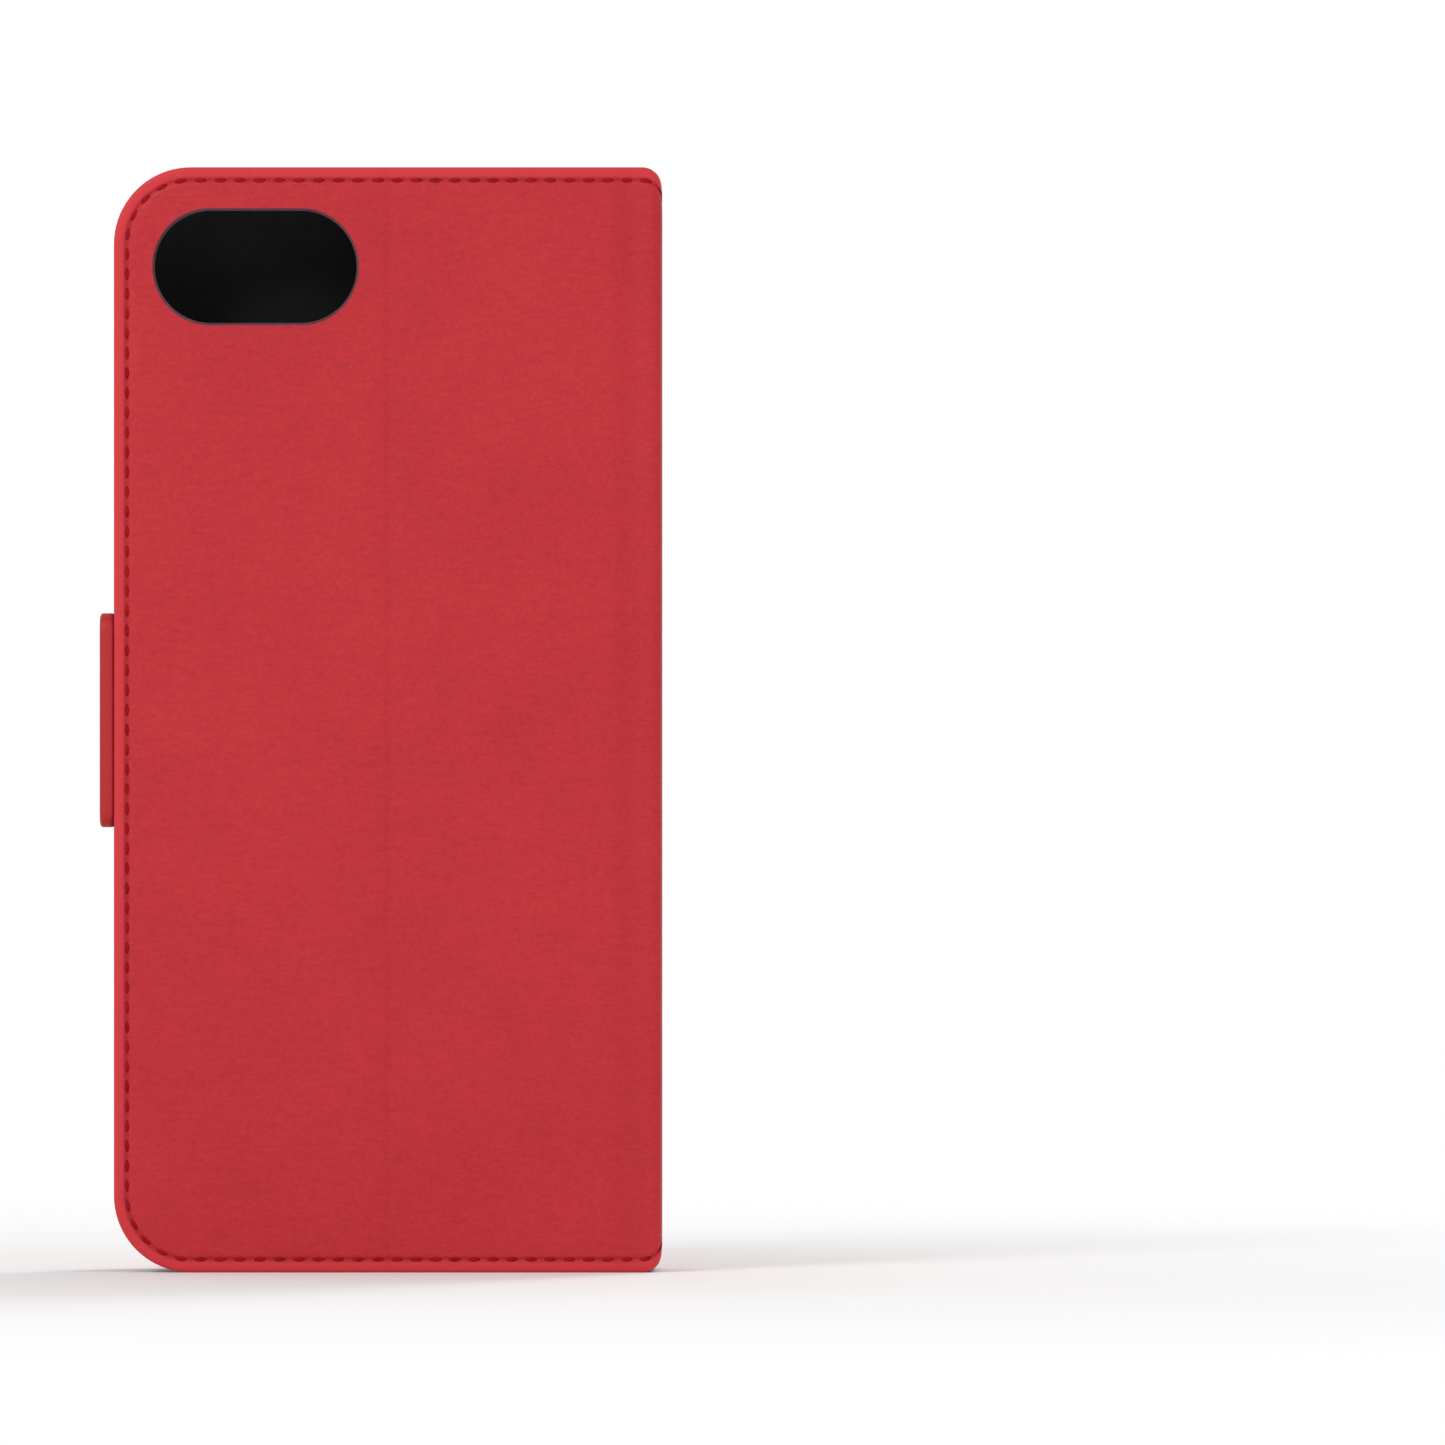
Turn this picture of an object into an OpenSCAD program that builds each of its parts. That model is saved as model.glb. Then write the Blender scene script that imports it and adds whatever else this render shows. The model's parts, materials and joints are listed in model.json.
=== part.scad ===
// Folio wallet case for a phone: a clip-in phone tray, a two-part back cover that folds at its
// middle to make a stand, a soft spine, a front cover with card pockets, and a magnetic side tab.
// +Z is up the case, -Y is its front, and the spine is on the -X side. Millimetres.

/* [Phone] */
// Width of the phone that the tray holds
phone_w = 67.3; // [60:0.1:80]
// Height of the phone
phone_h = 138.4; // [130:0.1:165]
// Thickness of the phone
phone_t = 7.3; // [6:0.1:10]
// Corner radius of the phone, seen from the front
phone_corner_r = 9.6; // [6:0.1:12]
// Gap between the phone and the tray's walls, on each side
phone_gap = 0.25; // [0.1:0.05:0.6]
// From the phone's top down to the middle of its mute switch and volume keys
volume_z = 44; // [30:0.5:60]
// Length of the cut-out for them
volume_l = 42; // [20:0.5:50]
// From the phone's top down to the middle of its side key
side_key_z = 37; // [30:0.5:50]
// Length of the cut-out for it
side_key_l = 17; // [12:0.5:30]
// Length of the cut-out for the socket and the loudspeaker
socket_l = 47; // [20:0.5:50]

/* [Phone tray] */
// Thickness of the tray's side walls
tray_wall = 1.2; // [1:0.1:2]
// Thickness of the tray's floor
tray_floor = 1.2; // [0.8:0.1:2]
// How far the snap lip reaches over the phone's edge
lip_reach = 0.6; // [0.3:0.1:1.2]
// Thickness of the snap lip
lip_t = 0.7; // [0.4:0.1:1.2]
// Height of the tray's side cut-outs, across the phone's edge
cutout_h = 5; // [4:0.1:6]
// Thickness of the adhesive sheet behind the tray
adhesive_t = 0.2; // [0.1:0.05:0.5]

/* [Covers] */
// Thickness of the leather skin
skin_t = 0.8; // [0.6:0.1:1.2]
// Thickness of the stiffening board
board_t = 0.9; // [0.6:0.1:1.5]
// Thickness of the lining
lining_t = 0.5; // [0.3:0.1:0.8]
// Width of the turned edge, from the cover's edge to the board
hem_w = 3; // [2.6:0.1:4]
// How far the lining stops short of the skin's edge
lining_inset = 0.5; // [0.3:0.1:0.8]
// Corner radius at the free edge
corner_r = 10.2; // [7:0.1:12]
// Corner radius at the spine
spine_corner_r = 2.6; // [1.5:0.1:4]
// Cover past the tray at the top and at the bottom
end_margin = 2.6; // [2:0.1:4]
// Cover past the tray at the free edge
free_margin = 0.7; // [0.6:0.1:1.5]
// Gap between the tray and the spine
spine_gap = 0.45; // [0.3:0.05:1]
// Rounding of the spine's two long edges
spine_edge_r = 1.2; // [0.8:0.1:1.6]

/* [Folds] */
// Distance from the spine's face to the groove in the front cover
groove_x = 6.3; // [5:0.1:8]
// Open gap between two panels that fold on each other
fold_gap = 0.3; // [0.2:0.05:0.5]
// Depth of the spine's fold lines inside the outer faces
fold_depth = 0.5; // [0.3:0.1:0.7]

/* [Openings] */
// Width of the camera window
window_w = 26.8; // [20:0.1:34]
// Height of the camera window
window_h = 14.9; // [10:0.1:20]
// Centre of the camera window from the free edge
window_x = 18.8; // [16:0.1:24]
// Centre of the camera window from the top
window_z = 13.2; // [11:0.1:20]
// How much wider each layer under the skin opens round the window
window_step = 0.4; // [0.2:0.1:0.8]
// Width of the earpiece slot
slot_w = 8.5; // [6:0.1:12]
// Height of the earpiece slot
slot_h = 2; // [1.5:0.1:3]
// Centre of the earpiece slot from the top
slot_z = 7.3; // [6:0.1:12]

/* [Pockets] */
// Width of a card
card_w = 54; // [54:0.1:56]
// Height of a card
card_h = 85.6; // [85.6:0.1:88]
// Thickness of a pocket panel
pocket_t = 0.4; // [0.3:0.05:0.6]
// Open slot behind each pocket panel
pocket_gap = 0.2; // [0.15:0.05:0.4]
// Width of the sewn edge of a pocket
pocket_seam = 2.2; // [1.8:0.1:3]
// Pocket edge from the cover's free edge
pocket_inset = 3; // [2.8:0.1:4]
// From the cover's top edge down to the cash pocket's mouth
mouth_drop = 21.5; // [18:0.5:60]
// Step from one pocket's mouth to the next
mouth_step = 13; // [8:1:14]
// Number of card pockets
card_pockets = 3; // [3:1:3]
// Room between the pockets and the tray's lip
pocket_room = 0.3; // [0.2:0.05:1]

/* [Closure tab] */
// Height of the tab, along the case's edge
tab_h = 28.4; // [20:0.1:36]
// Lower end of the tab
tab_z = 59; // [40:0.1:75]
// Thickness of the tab's skin and of its lining
tab_sheet_t = 0.5; // [0.4:0.05:0.7]
// Thickness of the tab's core, which is the magnets' thickness
tab_core_t = 0.7; // [0.5:0.1:1]
// Gap between the tab and the covers' edges
tab_gap = 0.2; // [0.15:0.05:0.4]
// Width of the tab's sewn edge
tab_hem = 1.6; // [1.2:0.1:2]
// Length of each magnet
magnet_l = 9; // [6:0.1:11]
// Width of each magnet
magnet_w = 7; // [5:0.1:9]
// Length of the tab's root, sewn inside the front cover
anchor_l = 8; // [6:0.1:12]
// Length of the steel plate in the tray, which the magnets hold to
keeper_l = 24; // [12:0.5:26]
// Width of the steel plate
keeper_w = 6; // [3:0.1:7]
// Thickness of the steel plate
keeper_t = 0.5; // [0.3:0.05:0.6]
// Distance from the tab's edge to its stitching
tab_seam_inset = 1.1; // [0.9:0.05:1.4]
// Depth of the tab's stitching groove
tab_seam_d = 0.2; // [0.1:0.05:0.3]

/* [Stitching] */
// Length of thread from one hole to the next
stitch_pitch = 2.6; // [2.2:0.1:3.5]
// Length of each visible stitch
stitch_l = 1.9; // [1.4:0.1:2]
// Width of the thread
stitch_w = 0.5; // [0.3:0.05:0.6]
// Depth of the stitching groove, which the thread fills
stitch_d = 0.3; // [0.2:0.05:0.4]
// Distance from the cover's edge to the stitching
stitch_inset = 1.75; // [1.5:0.05:2.2]

/* [Hidden] */
$fn = 48;
over = 1;                 // extra length of a cutter past the face it cuts
red = [0.51, 0.04, 0.05];
thread_red = [0.38, 0.01, 0.02];
black = [0.03, 0.03, 0.035];
card_grey = [0.45, 0.43, 0.4];
steel = [0.6, 0.6, 0.62];

cover_t = skin_t + board_t + lining_t;
soft_t = skin_t + lining_t;               // a stretch with no board in it, and the spine
level_t = pocket_gap + pocket_t;          // one pocket's share of the thickness
pockets_t = (card_pockets + 1) * level_t; // the cash pocket and the card pockets
cavity_w = phone_w + 2 * phone_gap;
cavity_h = phone_h + 2 * phone_gap;
cavity_t = phone_t + 0.2;
cavity_r = phone_corner_r + phone_gap;
tray_w = cavity_w + 2 * tray_wall;
tray_h = cavity_h + 2 * tray_wall;
tray_t = tray_floor + cavity_t + lip_t;
tab_t = 2 * tab_sheet_t + tab_core_t;

case_w = soft_t + spine_gap + tray_w + free_margin;
case_h = tray_h + 2 * end_margin;
case_t = 2 * cover_t + pockets_t + pocket_room + tray_t + adhesive_t;
// x of the main faces, so that the whole case with its tab is centred on the origin
spine_x = -(case_w + tab_gap + tab_t) / 2;
free_x = spine_x + case_w;
front_y = -case_t / 2;
back_y = case_t / 2;
tray_x = spine_x + soft_t + spine_gap;
tray_y = back_y - cover_t - adhesive_t;   // the tray's back face
crease_x = spine_x + case_w / 2;
panel_x = spine_x + soft_t + fold_gap;    // first edge of a cover beside the spine
seam_x = spine_x + spine_corner_r;        // where the straight stitching ends at the spine
groove = spine_x + groove_x;
board_start = 0.6;                        // board's distance from a folded edge
pocket_x = free_x - pocket_inset - card_w - 1 - 2 * pocket_seam;
cash_mouth_z = case_h - mouth_drop;
first_mouth_z = cash_mouth_z - card_pockets * mouth_step;
tab_x = free_x + tab_gap;
tab_y = front_y + 0.5;                    // the tab's sewn end
tab_end = back_y - 0.4;                   // the tab's free end
tab_l = tab_end - tab_y;                  // its length round the side
magnet_y = tab_end - tab_hem - 1 - magnet_w;
FRONT = -1;
BACK = 1;

// ---------- outlines, drawn with x across and y up the case ----------

// The closed case's outline: large corners at the free edge, small ones at the spine
module cover_outline(inset = 0) {
    r_free = corner_r - inset;
    r_spine = max(spine_corner_r - inset, 0.2);
    left = spine_x + inset;
    right = free_x - inset;
    top = case_h - inset;
    difference() {
        translate([left, inset]) square([right - left, top - inset]);
        for (z = [inset, top - r_free])
            translate([right - r_free, z]) square([r_free + over, r_free]);
        for (z = [inset, top - r_spine])
            translate([left - over, z]) square([r_spine + over, r_spine]);
    }
    for (z = [inset + r_free, top - r_free])
        translate([right - r_free, z]) circle(r_free);
    for (z = [inset + r_spine, top - r_spine])
        translate([left + r_spine, z]) circle(r_spine);
}

// A rectangle with four equal round corners, from the corner at the origin
module rounded_rect(w, h, r) {
    translate([r, 0]) square([w - 2 * r, h]);
    translate([0, r]) square([w, h - 2 * r]);
    for (x = [r, w - r], z = [r, h - r])
        translate([x, z]) circle(r);
}

// A slot with round ends, centred on the origin
module pill(w, h) {
    square([w - h, h], center = true);
    for (x = [-1, 1])
        translate([x * (w - h) / 2, 0]) circle(h / 2);
}

// Stands a drawn outline up in the case, with its front face at y and its thickness behind it
module upright(y, t) {
    translate([0, y + t, 0]) rotate([90, 0, 0]) linear_extrude(t) children();
}

// ---------- cover layers ----------

// Front face of a layer that starts depth under the cover's outer face
function layer_y(side, depth, t) = side == FRONT ? front_y + depth : back_y - depth - t;

// One layer of a cover, between two x, with the case's outline shrunk by inset
module layer(side, depth, t, x0, x1, inset = 0) {
    y = layer_y(side, depth, t);
    intersection() {
        upright(y, t) cover_outline(inset);
        translate([x0, y - over, -over]) cube([x1 - x0, t + 2 * over, case_h + 2 * over]);
    }
}

// Groove round the cover that the thread lies in
module stitch_groove(side, x0, x1) {
    half = stitch_w / 2 + 0.1;
    depth = stitch_d + over;
    difference() {
        layer(side, stitch_d - depth, depth, x0, x1, stitch_inset - half);
        layer(side, stitch_d - depth - over, depth + 2 * over, spine_x - over, free_x + over,
              stitch_inset + half);
    }
}

module board(side, x0, x1) {
    layer(side, skin_t, board_t, x0, x1, hem_w);
}

// Skin with its turned edge, which comes round the board as far as the lining
module skin(side, x0, x1, board_x0, board_x1) {
    difference() {
        layer(side, 0, skin_t + board_t, x0, x1);
        board(side, board_x0, board_x1);
        stitch_groove(side, x0 - over, x1 + over);
    }
}

module lining(side, x0, x1) {
    layer(side, skin_t + board_t, lining_t, x0, x1, lining_inset);
}

// Camera window cutter, through the back of the case
module window_cut(grow = 0) {
    translate([free_x - window_x, 0, case_h - window_z])
        upright(0, case_t) pill(window_w + 2 * grow, window_h + 2 * grow);
}

// Earpiece slot cutter, through the front cover
module slot_cut(grow = 0) {
    translate([(spine_x + free_x) / 2, 0, case_h - slot_z])
        upright(front_y - over, cover_t + 2 * over) pill(slot_w + 2 * grow, slot_h + 2 * grow);
}

// ---------- stitching ----------

// One stitch on a flat cover, centred on a point of the seam and turned along it
module stitch(side, x, z, turn) {
    translate([x, side * (case_t - stitch_d) / 2, z]) rotate([0, -turn, 0])
        cube([stitch_l, stitch_d, stitch_w], center = true);
}

// Even spacing of whole stitches over a length
function stitches_in(length) = max(1, round(length / stitch_pitch));
function stitch_at(length, i) = (i + 0.5) * length / stitches_in(length);

// A straight run at the cover's top and bottom, from x0 to x1
module stitch_rows(side, x0, x1) {
    for (z = [stitch_inset, case_h - stitch_inset], i = [0 : stitches_in(x1 - x0) - 1])
        stitch(side, x0 + stitch_at(x1 - x0, i), z, 0);
}

// The run round the free edge: up the side and round both corners
module stitch_free_edge(side) {
    r = corner_r - stitch_inset;
    side_l = case_h - 2 * corner_r;
    arc_l = r * PI / 2;
    for (i = [0 : stitches_in(side_l) - 1])
        stitch(side, free_x - stitch_inset, corner_r + stitch_at(side_l, i), 90);
    for (i = [0 : stitches_in(arc_l) - 1]) {
        a = stitch_at(arc_l, i) / arc_l * 90;
        stitch(side, free_x - corner_r + r * cos(a), case_h - corner_r + r * sin(a), a + 90);
        stitch(side, free_x - corner_r + r * cos(a), corner_r - r * sin(a), 90 - a);
    }
}

// ---------- phone tray ----------

// A cutter through one of the tray's side walls, its middle at a height on the phone's edge
module edge_cut(length) {
    rotate([90, 0, 90]) linear_extrude(4 * tray_wall, center = true)
        rotate(90) pill(length, cutout_h);
}

module phone_tray() color(black) difference() {
    middle_y = tray_y - tray_floor - phone_t / 2;
    phone_top = case_h - end_margin - tray_wall - phone_gap;
    translate([tray_x, 0, end_margin]) upright(tray_y - tray_t, tray_t)
        rounded_rect(tray_w, tray_h, cavity_r + tray_wall);
    translate([tray_x + tray_wall, 0, end_margin + tray_wall])
        upright(tray_y - tray_floor - cavity_t, cavity_t) rounded_rect(cavity_w, cavity_h, cavity_r);
    translate([tray_x + tray_wall + lip_reach, 0, end_margin + tray_wall + lip_reach])
        upright(tray_y - tray_t - over, lip_t + 2 * over)
            rounded_rect(cavity_w - 2 * lip_reach, cavity_h - 2 * lip_reach, cavity_r - lip_reach);
    window_cut(window_step);
    // Mute switch and volume keys, on the spine's side
    translate([tray_x, middle_y, phone_top - volume_z]) edge_cut(volume_l);
    // Side key, on the free side
    translate([tray_x + tray_w, middle_y, phone_top - side_key_z]) edge_cut(side_key_l);
    // Charging socket and loudspeaker holes
    translate([tray_x + tray_w / 2, middle_y, end_margin]) rotate([0, 90, 0]) edge_cut(socket_l);
    tab_keeper();
}

module tab_keeper() {
    translate([tray_x + tray_w - keeper_t, magnet_y + (magnet_w - keeper_w) / 2,
               tab_z + (tab_h - keeper_l) / 2])
        cube([keeper_t, keeper_w, keeper_l]);
}

module tab_keeper_plate() color(steel) tab_keeper();

module tray_adhesive_sheet() color(card_grey) difference() {
    x0 = crease_x + fold_gap / 2 + 1;
    x1 = tray_x + tray_w - 2;
    translate([x0, 0, end_margin + 3]) upright(tray_y, adhesive_t)
        rounded_rect(x1 - x0, tray_h - 6, 6);
    window_cut(2 * window_step);
}

// ---------- back cover ----------

module back_skin_camera_side() color(red) difference() {
    skin(BACK, crease_x + fold_gap / 2, free_x, crease_x + board_start, free_x - hem_w);
    window_cut();
}

module back_board_camera_side() color(card_grey) difference() {
    board(BACK, crease_x + board_start, free_x - hem_w);
    window_cut(window_step);
}

module back_lining_camera_side() color(black) difference() {
    lining(BACK, crease_x + fold_gap / 2, free_x);
    window_cut(window_step);
}

module back_stitches_camera_side() color(thread_red) {
    stitch_rows(BACK, crease_x + fold_gap, free_x - corner_r);
    stitch_free_edge(BACK);
}

module back_skin_spine_side() color(red)
    skin(BACK, panel_x, crease_x - fold_gap / 2, groove, crease_x - board_start);

module back_board_spine_side() color(card_grey)
    board(BACK, groove, crease_x - board_start);

module back_lining_spine_side() color(black)
    lining(BACK, panel_x, crease_x - fold_gap / 2);

module back_stitches_spine_side() color(thread_red)
    stitch_rows(BACK, seam_x, crease_x - fold_gap);

// ---------- spine ----------

// A sheet of the spine between two x, with its long outer edges rounded
module spine_sheet(x0, x1, inset) {
    intersection() {
        upright(front_y, case_t) cover_outline(inset);
        translate([x0, front_y + inset, -over]) cube([x1 - x0, case_t - 2 * inset, case_h + 2 * over]);
        linear_extrude(case_h) translate([spine_x, front_y])
            rounded_rect(case_t, case_t, spine_edge_r);
    }
}

// Stitches across the spine's top and bottom
module spine_thread(grow = 0) {
    run = case_t - 2 * spine_edge_r;
    x = spine_x + spine_corner_r - sqrt(pow(spine_corner_r, 2) - pow(spine_corner_r - stitch_inset, 2));
    for (z = [stitch_inset, case_h - stitch_inset], i = [0 : stitches_in(run) - 1])
        translate([x + stitch_d / 2 - grow, -run / 2 + stitch_at(run, i), z])
            cube([stitch_d + 2 * grow, stitch_l + 2 * grow, stitch_w + 2 * grow], center = true);
}

module spine_skin() color(red) difference() {
    spine_sheet(spine_x, spine_x + skin_t, 0);
    spine_thread(0.05);
}

module spine_lining() color(black)
    spine_sheet(spine_x + skin_t, spine_x + soft_t, lining_inset);

module spine_stitches() color(thread_red) spine_thread();

// ---------- front cover ----------

// Soft strip between the spine and the groove, where the front cover bends
module gutter_skin() color(red) difference() {
    layer(FRONT, 0, skin_t, panel_x, groove - fold_gap / 2);
    stitch_groove(FRONT, panel_x - over, groove + over);
}

module gutter_lining() color(black)
    layer(FRONT, skin_t, lining_t, panel_x, groove - fold_gap / 2, lining_inset);

module gutter_stitches() color(thread_red)
    stitch_rows(FRONT, seam_x, groove - fold_gap);

module front_skin() color(red) difference() {
    skin(FRONT, groove + fold_gap / 2, free_x, groove + board_start, free_x - hem_w);
    slot_cut();
    tab_root();
}

module front_board() color(card_grey) difference() {
    board(FRONT, groove + board_start, free_x - hem_w);
    slot_cut(window_step);
    tab_root();
}

module front_lining() color(black) difference() {
    lining(FRONT, groove + fold_gap / 2, free_x);
    slot_cut(window_step);
}

module front_stitches() color(thread_red) {
    stitch_rows(FRONT, groove + fold_gap, free_x - corner_r);
    stitch_free_edge(FRONT);
}

// ---------- pockets inside the front cover ----------

// Area of the pockets up to a mouth, at one level over the lining
module pocket_area(depth, t, bottom, mouth, shrink = 0) {
    intersection() {
        layer(FRONT, depth, t, pocket_x + shrink, free_x - pocket_inset - shrink, pocket_inset + shrink);
        translate([spine_x, front_y, bottom]) cube([case_w, case_t, mouth - bottom]);
    }
}

// A panel sewn down at its sides and at its foot, which stops the card, with a thumb notch
module pocket(level, mouth, foot, notch_r) {
    depth = cover_t + level * level_t;
    difference() {
        pocket_area(depth, level_t, 0, mouth);
        difference() {
            pocket_area(depth - over, pocket_gap + over, foot, mouth + over, pocket_seam);
            translate([spine_x, front_y + depth + pocket_gap, 0]) cube([case_w, case_t, case_h]);
        }
        translate([(pocket_x + free_x - pocket_inset) / 2, front_y + depth - over, mouth])
            rotate([-90, 0, 0]) cylinder(h = level_t + 2 * over, r = notch_r);
    }
}

// Card pocket number n, counted up from the lowest mouth
module card_pocket(n) {
    mouth = first_mouth_z + n * mouth_step;
    shows = 6;     // how much of a card stands out of its pocket
    color(black) pocket(card_pockets - n, mouth, mouth - card_h + shows, 6);
}

module card_pocket_bottom() card_pocket(0);
module card_pocket_middle() card_pocket(1);
module card_pocket_top() card_pocket(2);

module cash_pocket() color(black)
    pocket(0, cash_mouth_z, pocket_inset + pocket_seam, 9);

// Depth of the pockets' top face at a height
function pocket_top(z) = cover_t + level_t
    + level_t * len([for (n = [0 : card_pockets - 1]) if (z < first_mouth_z + n * mouth_step) n]);

// Stitches up both sides of the pockets, on whichever panel lies uppermost there
module pocket_stitches() color(thread_red) {
    z0 = corner_r + 1;
    run = cash_mouth_z - z0 - 1;
    proud = 0.15;
    for (x = [pocket_x + pocket_seam / 2, free_x - pocket_inset - pocket_seam / 2],
         i = [0 : stitches_in(run) - 1]) {
        z = z0 + stitch_at(run, i);
        // the lower of the two levels where a stitch would cross a mouth
        clear_z = z + stitch_l / 2;
        if (pocket_top(clear_z) == pocket_top(z - stitch_l / 2))
            translate([x - stitch_w / 2, front_y + pocket_top(z), z - stitch_l / 2])
                cube([stitch_w, proud, stitch_l]);
    }
}

// ---------- closure tab ----------

// The tab's leather root between the front cover's board and its lining
module tab_root() {
    root_t = tab_sheet_t;
    translate([free_x - anchor_l, layer_y(FRONT, skin_t + board_t - root_t, root_t), tab_z])
        cube([anchor_l, root_t, tab_h]);
}
module tab_anchor() color(red) tab_root();

// A sheet of the tab, which hangs down the side of the case from the front cover's edge
module tab_sheet(x, t, shrink = 0) {
    r = 2.5;
    translate([x, tab_y + shrink, tab_z + shrink]) rotate([90, 0, 90]) linear_extrude(t)
        difference() {
            square([tab_l - 2 * shrink, tab_h - 2 * shrink]);
            for (z = [-over, tab_h - 2 * shrink - r])
                translate([tab_l - 2 * shrink - r, z]) square([r + over, r + over]);
        }
    for (z = [tab_z + shrink + r, tab_z + tab_h - shrink - r])
        translate([x, tab_y + tab_l - shrink - r, z]) rotate([0, 90, 0]) cylinder(h = t, r = r);
}

module tab_core() {
    tab_sheet(tab_x + tab_sheet_t, tab_core_t, tab_hem);
}

module magnet(z, grow = 0) {
    translate([tab_x + tab_sheet_t - grow, magnet_y, z])
        cube([tab_core_t + 2 * grow, magnet_w, magnet_l]);
}
magnet_zs = [tab_z + tab_h / 2 - magnet_l - 1.5, tab_z + tab_h / 2 + 1.5];

module closure_tab_skin() color(red) difference() {
    tab_sheet(tab_x + tab_sheet_t, tab_sheet_t + tab_core_t);
    tab_core();
    tab_seam(stitch_w / 2 + 0.1, tab_x + tab_t - tab_seam_d);
}

module closure_tab_filler() color(card_grey) difference() {
    tab_core();
    for (z = magnet_zs)
        magnet(z, over);
}

module closure_tab_magnets() color(steel)
    for (z = magnet_zs)
        magnet(z);

module closure_tab_lining() color(red)
    tab_sheet(tab_x, tab_sheet_t);

// Groove for the tab's stitching, a frame set in from its edges
module tab_seam(half, x) {
    difference() {
        tab_sheet(x, over, tab_seam_inset - half);
        tab_sheet(x - over, 3 * over, tab_seam_inset + half);
    }
}

module closure_tab_stitches() color(thread_red) {
    x = tab_x + tab_t - tab_seam_d;
    corner = 3.5;            // seam left bare at each round corner
    run_y = tab_l - tab_seam_inset - corner;
    run_z = tab_h - 2 * corner;
    for (z = [tab_z + tab_seam_inset, tab_z + tab_h - tab_seam_inset], i = [0 : stitches_in(run_y) - 1])
        translate([x, tab_y + tab_seam_inset + stitch_at(run_y, i) - stitch_l / 2, z - stitch_w / 2])
            cube([tab_seam_d, stitch_l, stitch_w]);
    for (i = [0 : stitches_in(run_z) - 1])
        translate([x, tab_y + tab_l - tab_seam_inset - stitch_w / 2,
                   tab_z + corner + stitch_at(run_z, i) - stitch_l / 2])
            cube([tab_seam_d, stitch_w, stitch_l]);
}

// ---------- nodes ----------

phone_tray();
tab_keeper_plate();
tray_adhesive_sheet();
back_skin_camera_side();
back_board_camera_side();
back_lining_camera_side();
back_stitches_camera_side();
back_skin_spine_side();
back_board_spine_side();
back_lining_spine_side();
back_stitches_spine_side();
spine_skin();
spine_lining();
spine_stitches();
gutter_skin();
gutter_lining();
gutter_stitches();
front_skin();
front_board();
front_lining();
front_stitches();
cash_pocket();
card_pocket_top();
card_pocket_middle();
card_pocket_bottom();
pocket_stitches();
tab_anchor();
closure_tab_skin();
closure_tab_filler();
closure_tab_magnets();
closure_tab_lining();
closure_tab_stitches();
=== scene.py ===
# Phone wallet case: red grained leather folio with a clip-in tray, card pockets and a side tab
import json
import math
import bmesh
import bpy
from mathutils import Matrix, Vector


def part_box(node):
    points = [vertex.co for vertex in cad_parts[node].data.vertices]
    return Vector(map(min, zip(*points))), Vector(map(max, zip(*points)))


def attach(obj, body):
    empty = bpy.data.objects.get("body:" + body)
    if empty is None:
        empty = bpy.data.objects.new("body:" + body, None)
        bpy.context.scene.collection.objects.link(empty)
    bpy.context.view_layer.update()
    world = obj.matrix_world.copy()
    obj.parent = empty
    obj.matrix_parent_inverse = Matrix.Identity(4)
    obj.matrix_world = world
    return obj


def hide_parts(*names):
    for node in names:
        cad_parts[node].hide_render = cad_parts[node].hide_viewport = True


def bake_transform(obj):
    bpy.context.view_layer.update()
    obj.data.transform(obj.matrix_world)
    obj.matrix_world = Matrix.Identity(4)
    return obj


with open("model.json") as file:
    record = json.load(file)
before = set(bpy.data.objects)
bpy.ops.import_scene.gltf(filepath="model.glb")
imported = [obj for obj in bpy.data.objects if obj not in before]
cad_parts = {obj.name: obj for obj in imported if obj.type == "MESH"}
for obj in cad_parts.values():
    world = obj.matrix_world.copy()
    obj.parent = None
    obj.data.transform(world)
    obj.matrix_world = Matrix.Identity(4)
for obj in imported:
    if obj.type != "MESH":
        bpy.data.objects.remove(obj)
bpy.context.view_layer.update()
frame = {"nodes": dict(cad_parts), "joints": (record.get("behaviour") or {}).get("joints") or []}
mm = 0.001
quarter = math.pi / 2               # a quarter turn

# where the case's faces are, from the frame
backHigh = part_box("back_skin_camera_side")[1]
frontLow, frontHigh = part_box("front_skin")
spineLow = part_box("spine_skin")[0]
trayLow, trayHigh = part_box("phone_tray")
tabLow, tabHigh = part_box("closure_tab_skin")
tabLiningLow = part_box("closure_tab_lining")[0]
joints = {j["name"]: j for j in frame["joints"]}

freeX = backHigh.x
backY = backHigh.y
frontY = frontLow.y
spineX = spineLow.x
caseHigh = frontHigh.z
creaseX = joints["stand_fold"]["pos_m"][0]
grooveX = joints["cover_fold"]["pos_m"][0]
caseWide = freeX - spineX
caseDeep = backY - frontY

leather = {
    "cornerRadius": 10.2 * mm,      # at the free edge
    "spineCorner": 2.6 * mm,        # seen from the front, at the spine
    "bendRadius": 1.5 * mm,         # round the spine's two long edges
    "bendReach": 3.4 * mm,          # how far a bend reaches from the corner
    "skin": 0.8 * mm,
    "board": 0.9 * mm,
    "lining": 0.5 * mm,
    "liningInset": 0.5 * mm,
    "hem": 3.0 * mm,
    "seamInset": 1.75 * mm,
    "boardStep": 1.4 * mm,          # how far the leather takes to thicken past the groove
    "leastBend": 0.22 * mm,         # radius that the inside of a bend keeps
    "cutClear": 0.4 * mm,           # how far the lining's holes stand back from the leather's
}
dips = {                            # hollows in the outer face, each with a depth and a width
    "crease": 0.05 * mm, "creaseWide": 0.45 * mm,
    "spread": 0.06 * mm, "spreadWide": 2.2 * mm,
    "band": 0.22 * mm, "bandHalf": 2.6 * mm, "bandAt": 4.2 * mm, "bandShadeAt": 4 * mm,
    "groove": 0.34 * mm, "grooveWide": 0.55 * mm,
    "gutter": 0.1 * mm, "gutterWide": 3 * mm,
}
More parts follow.
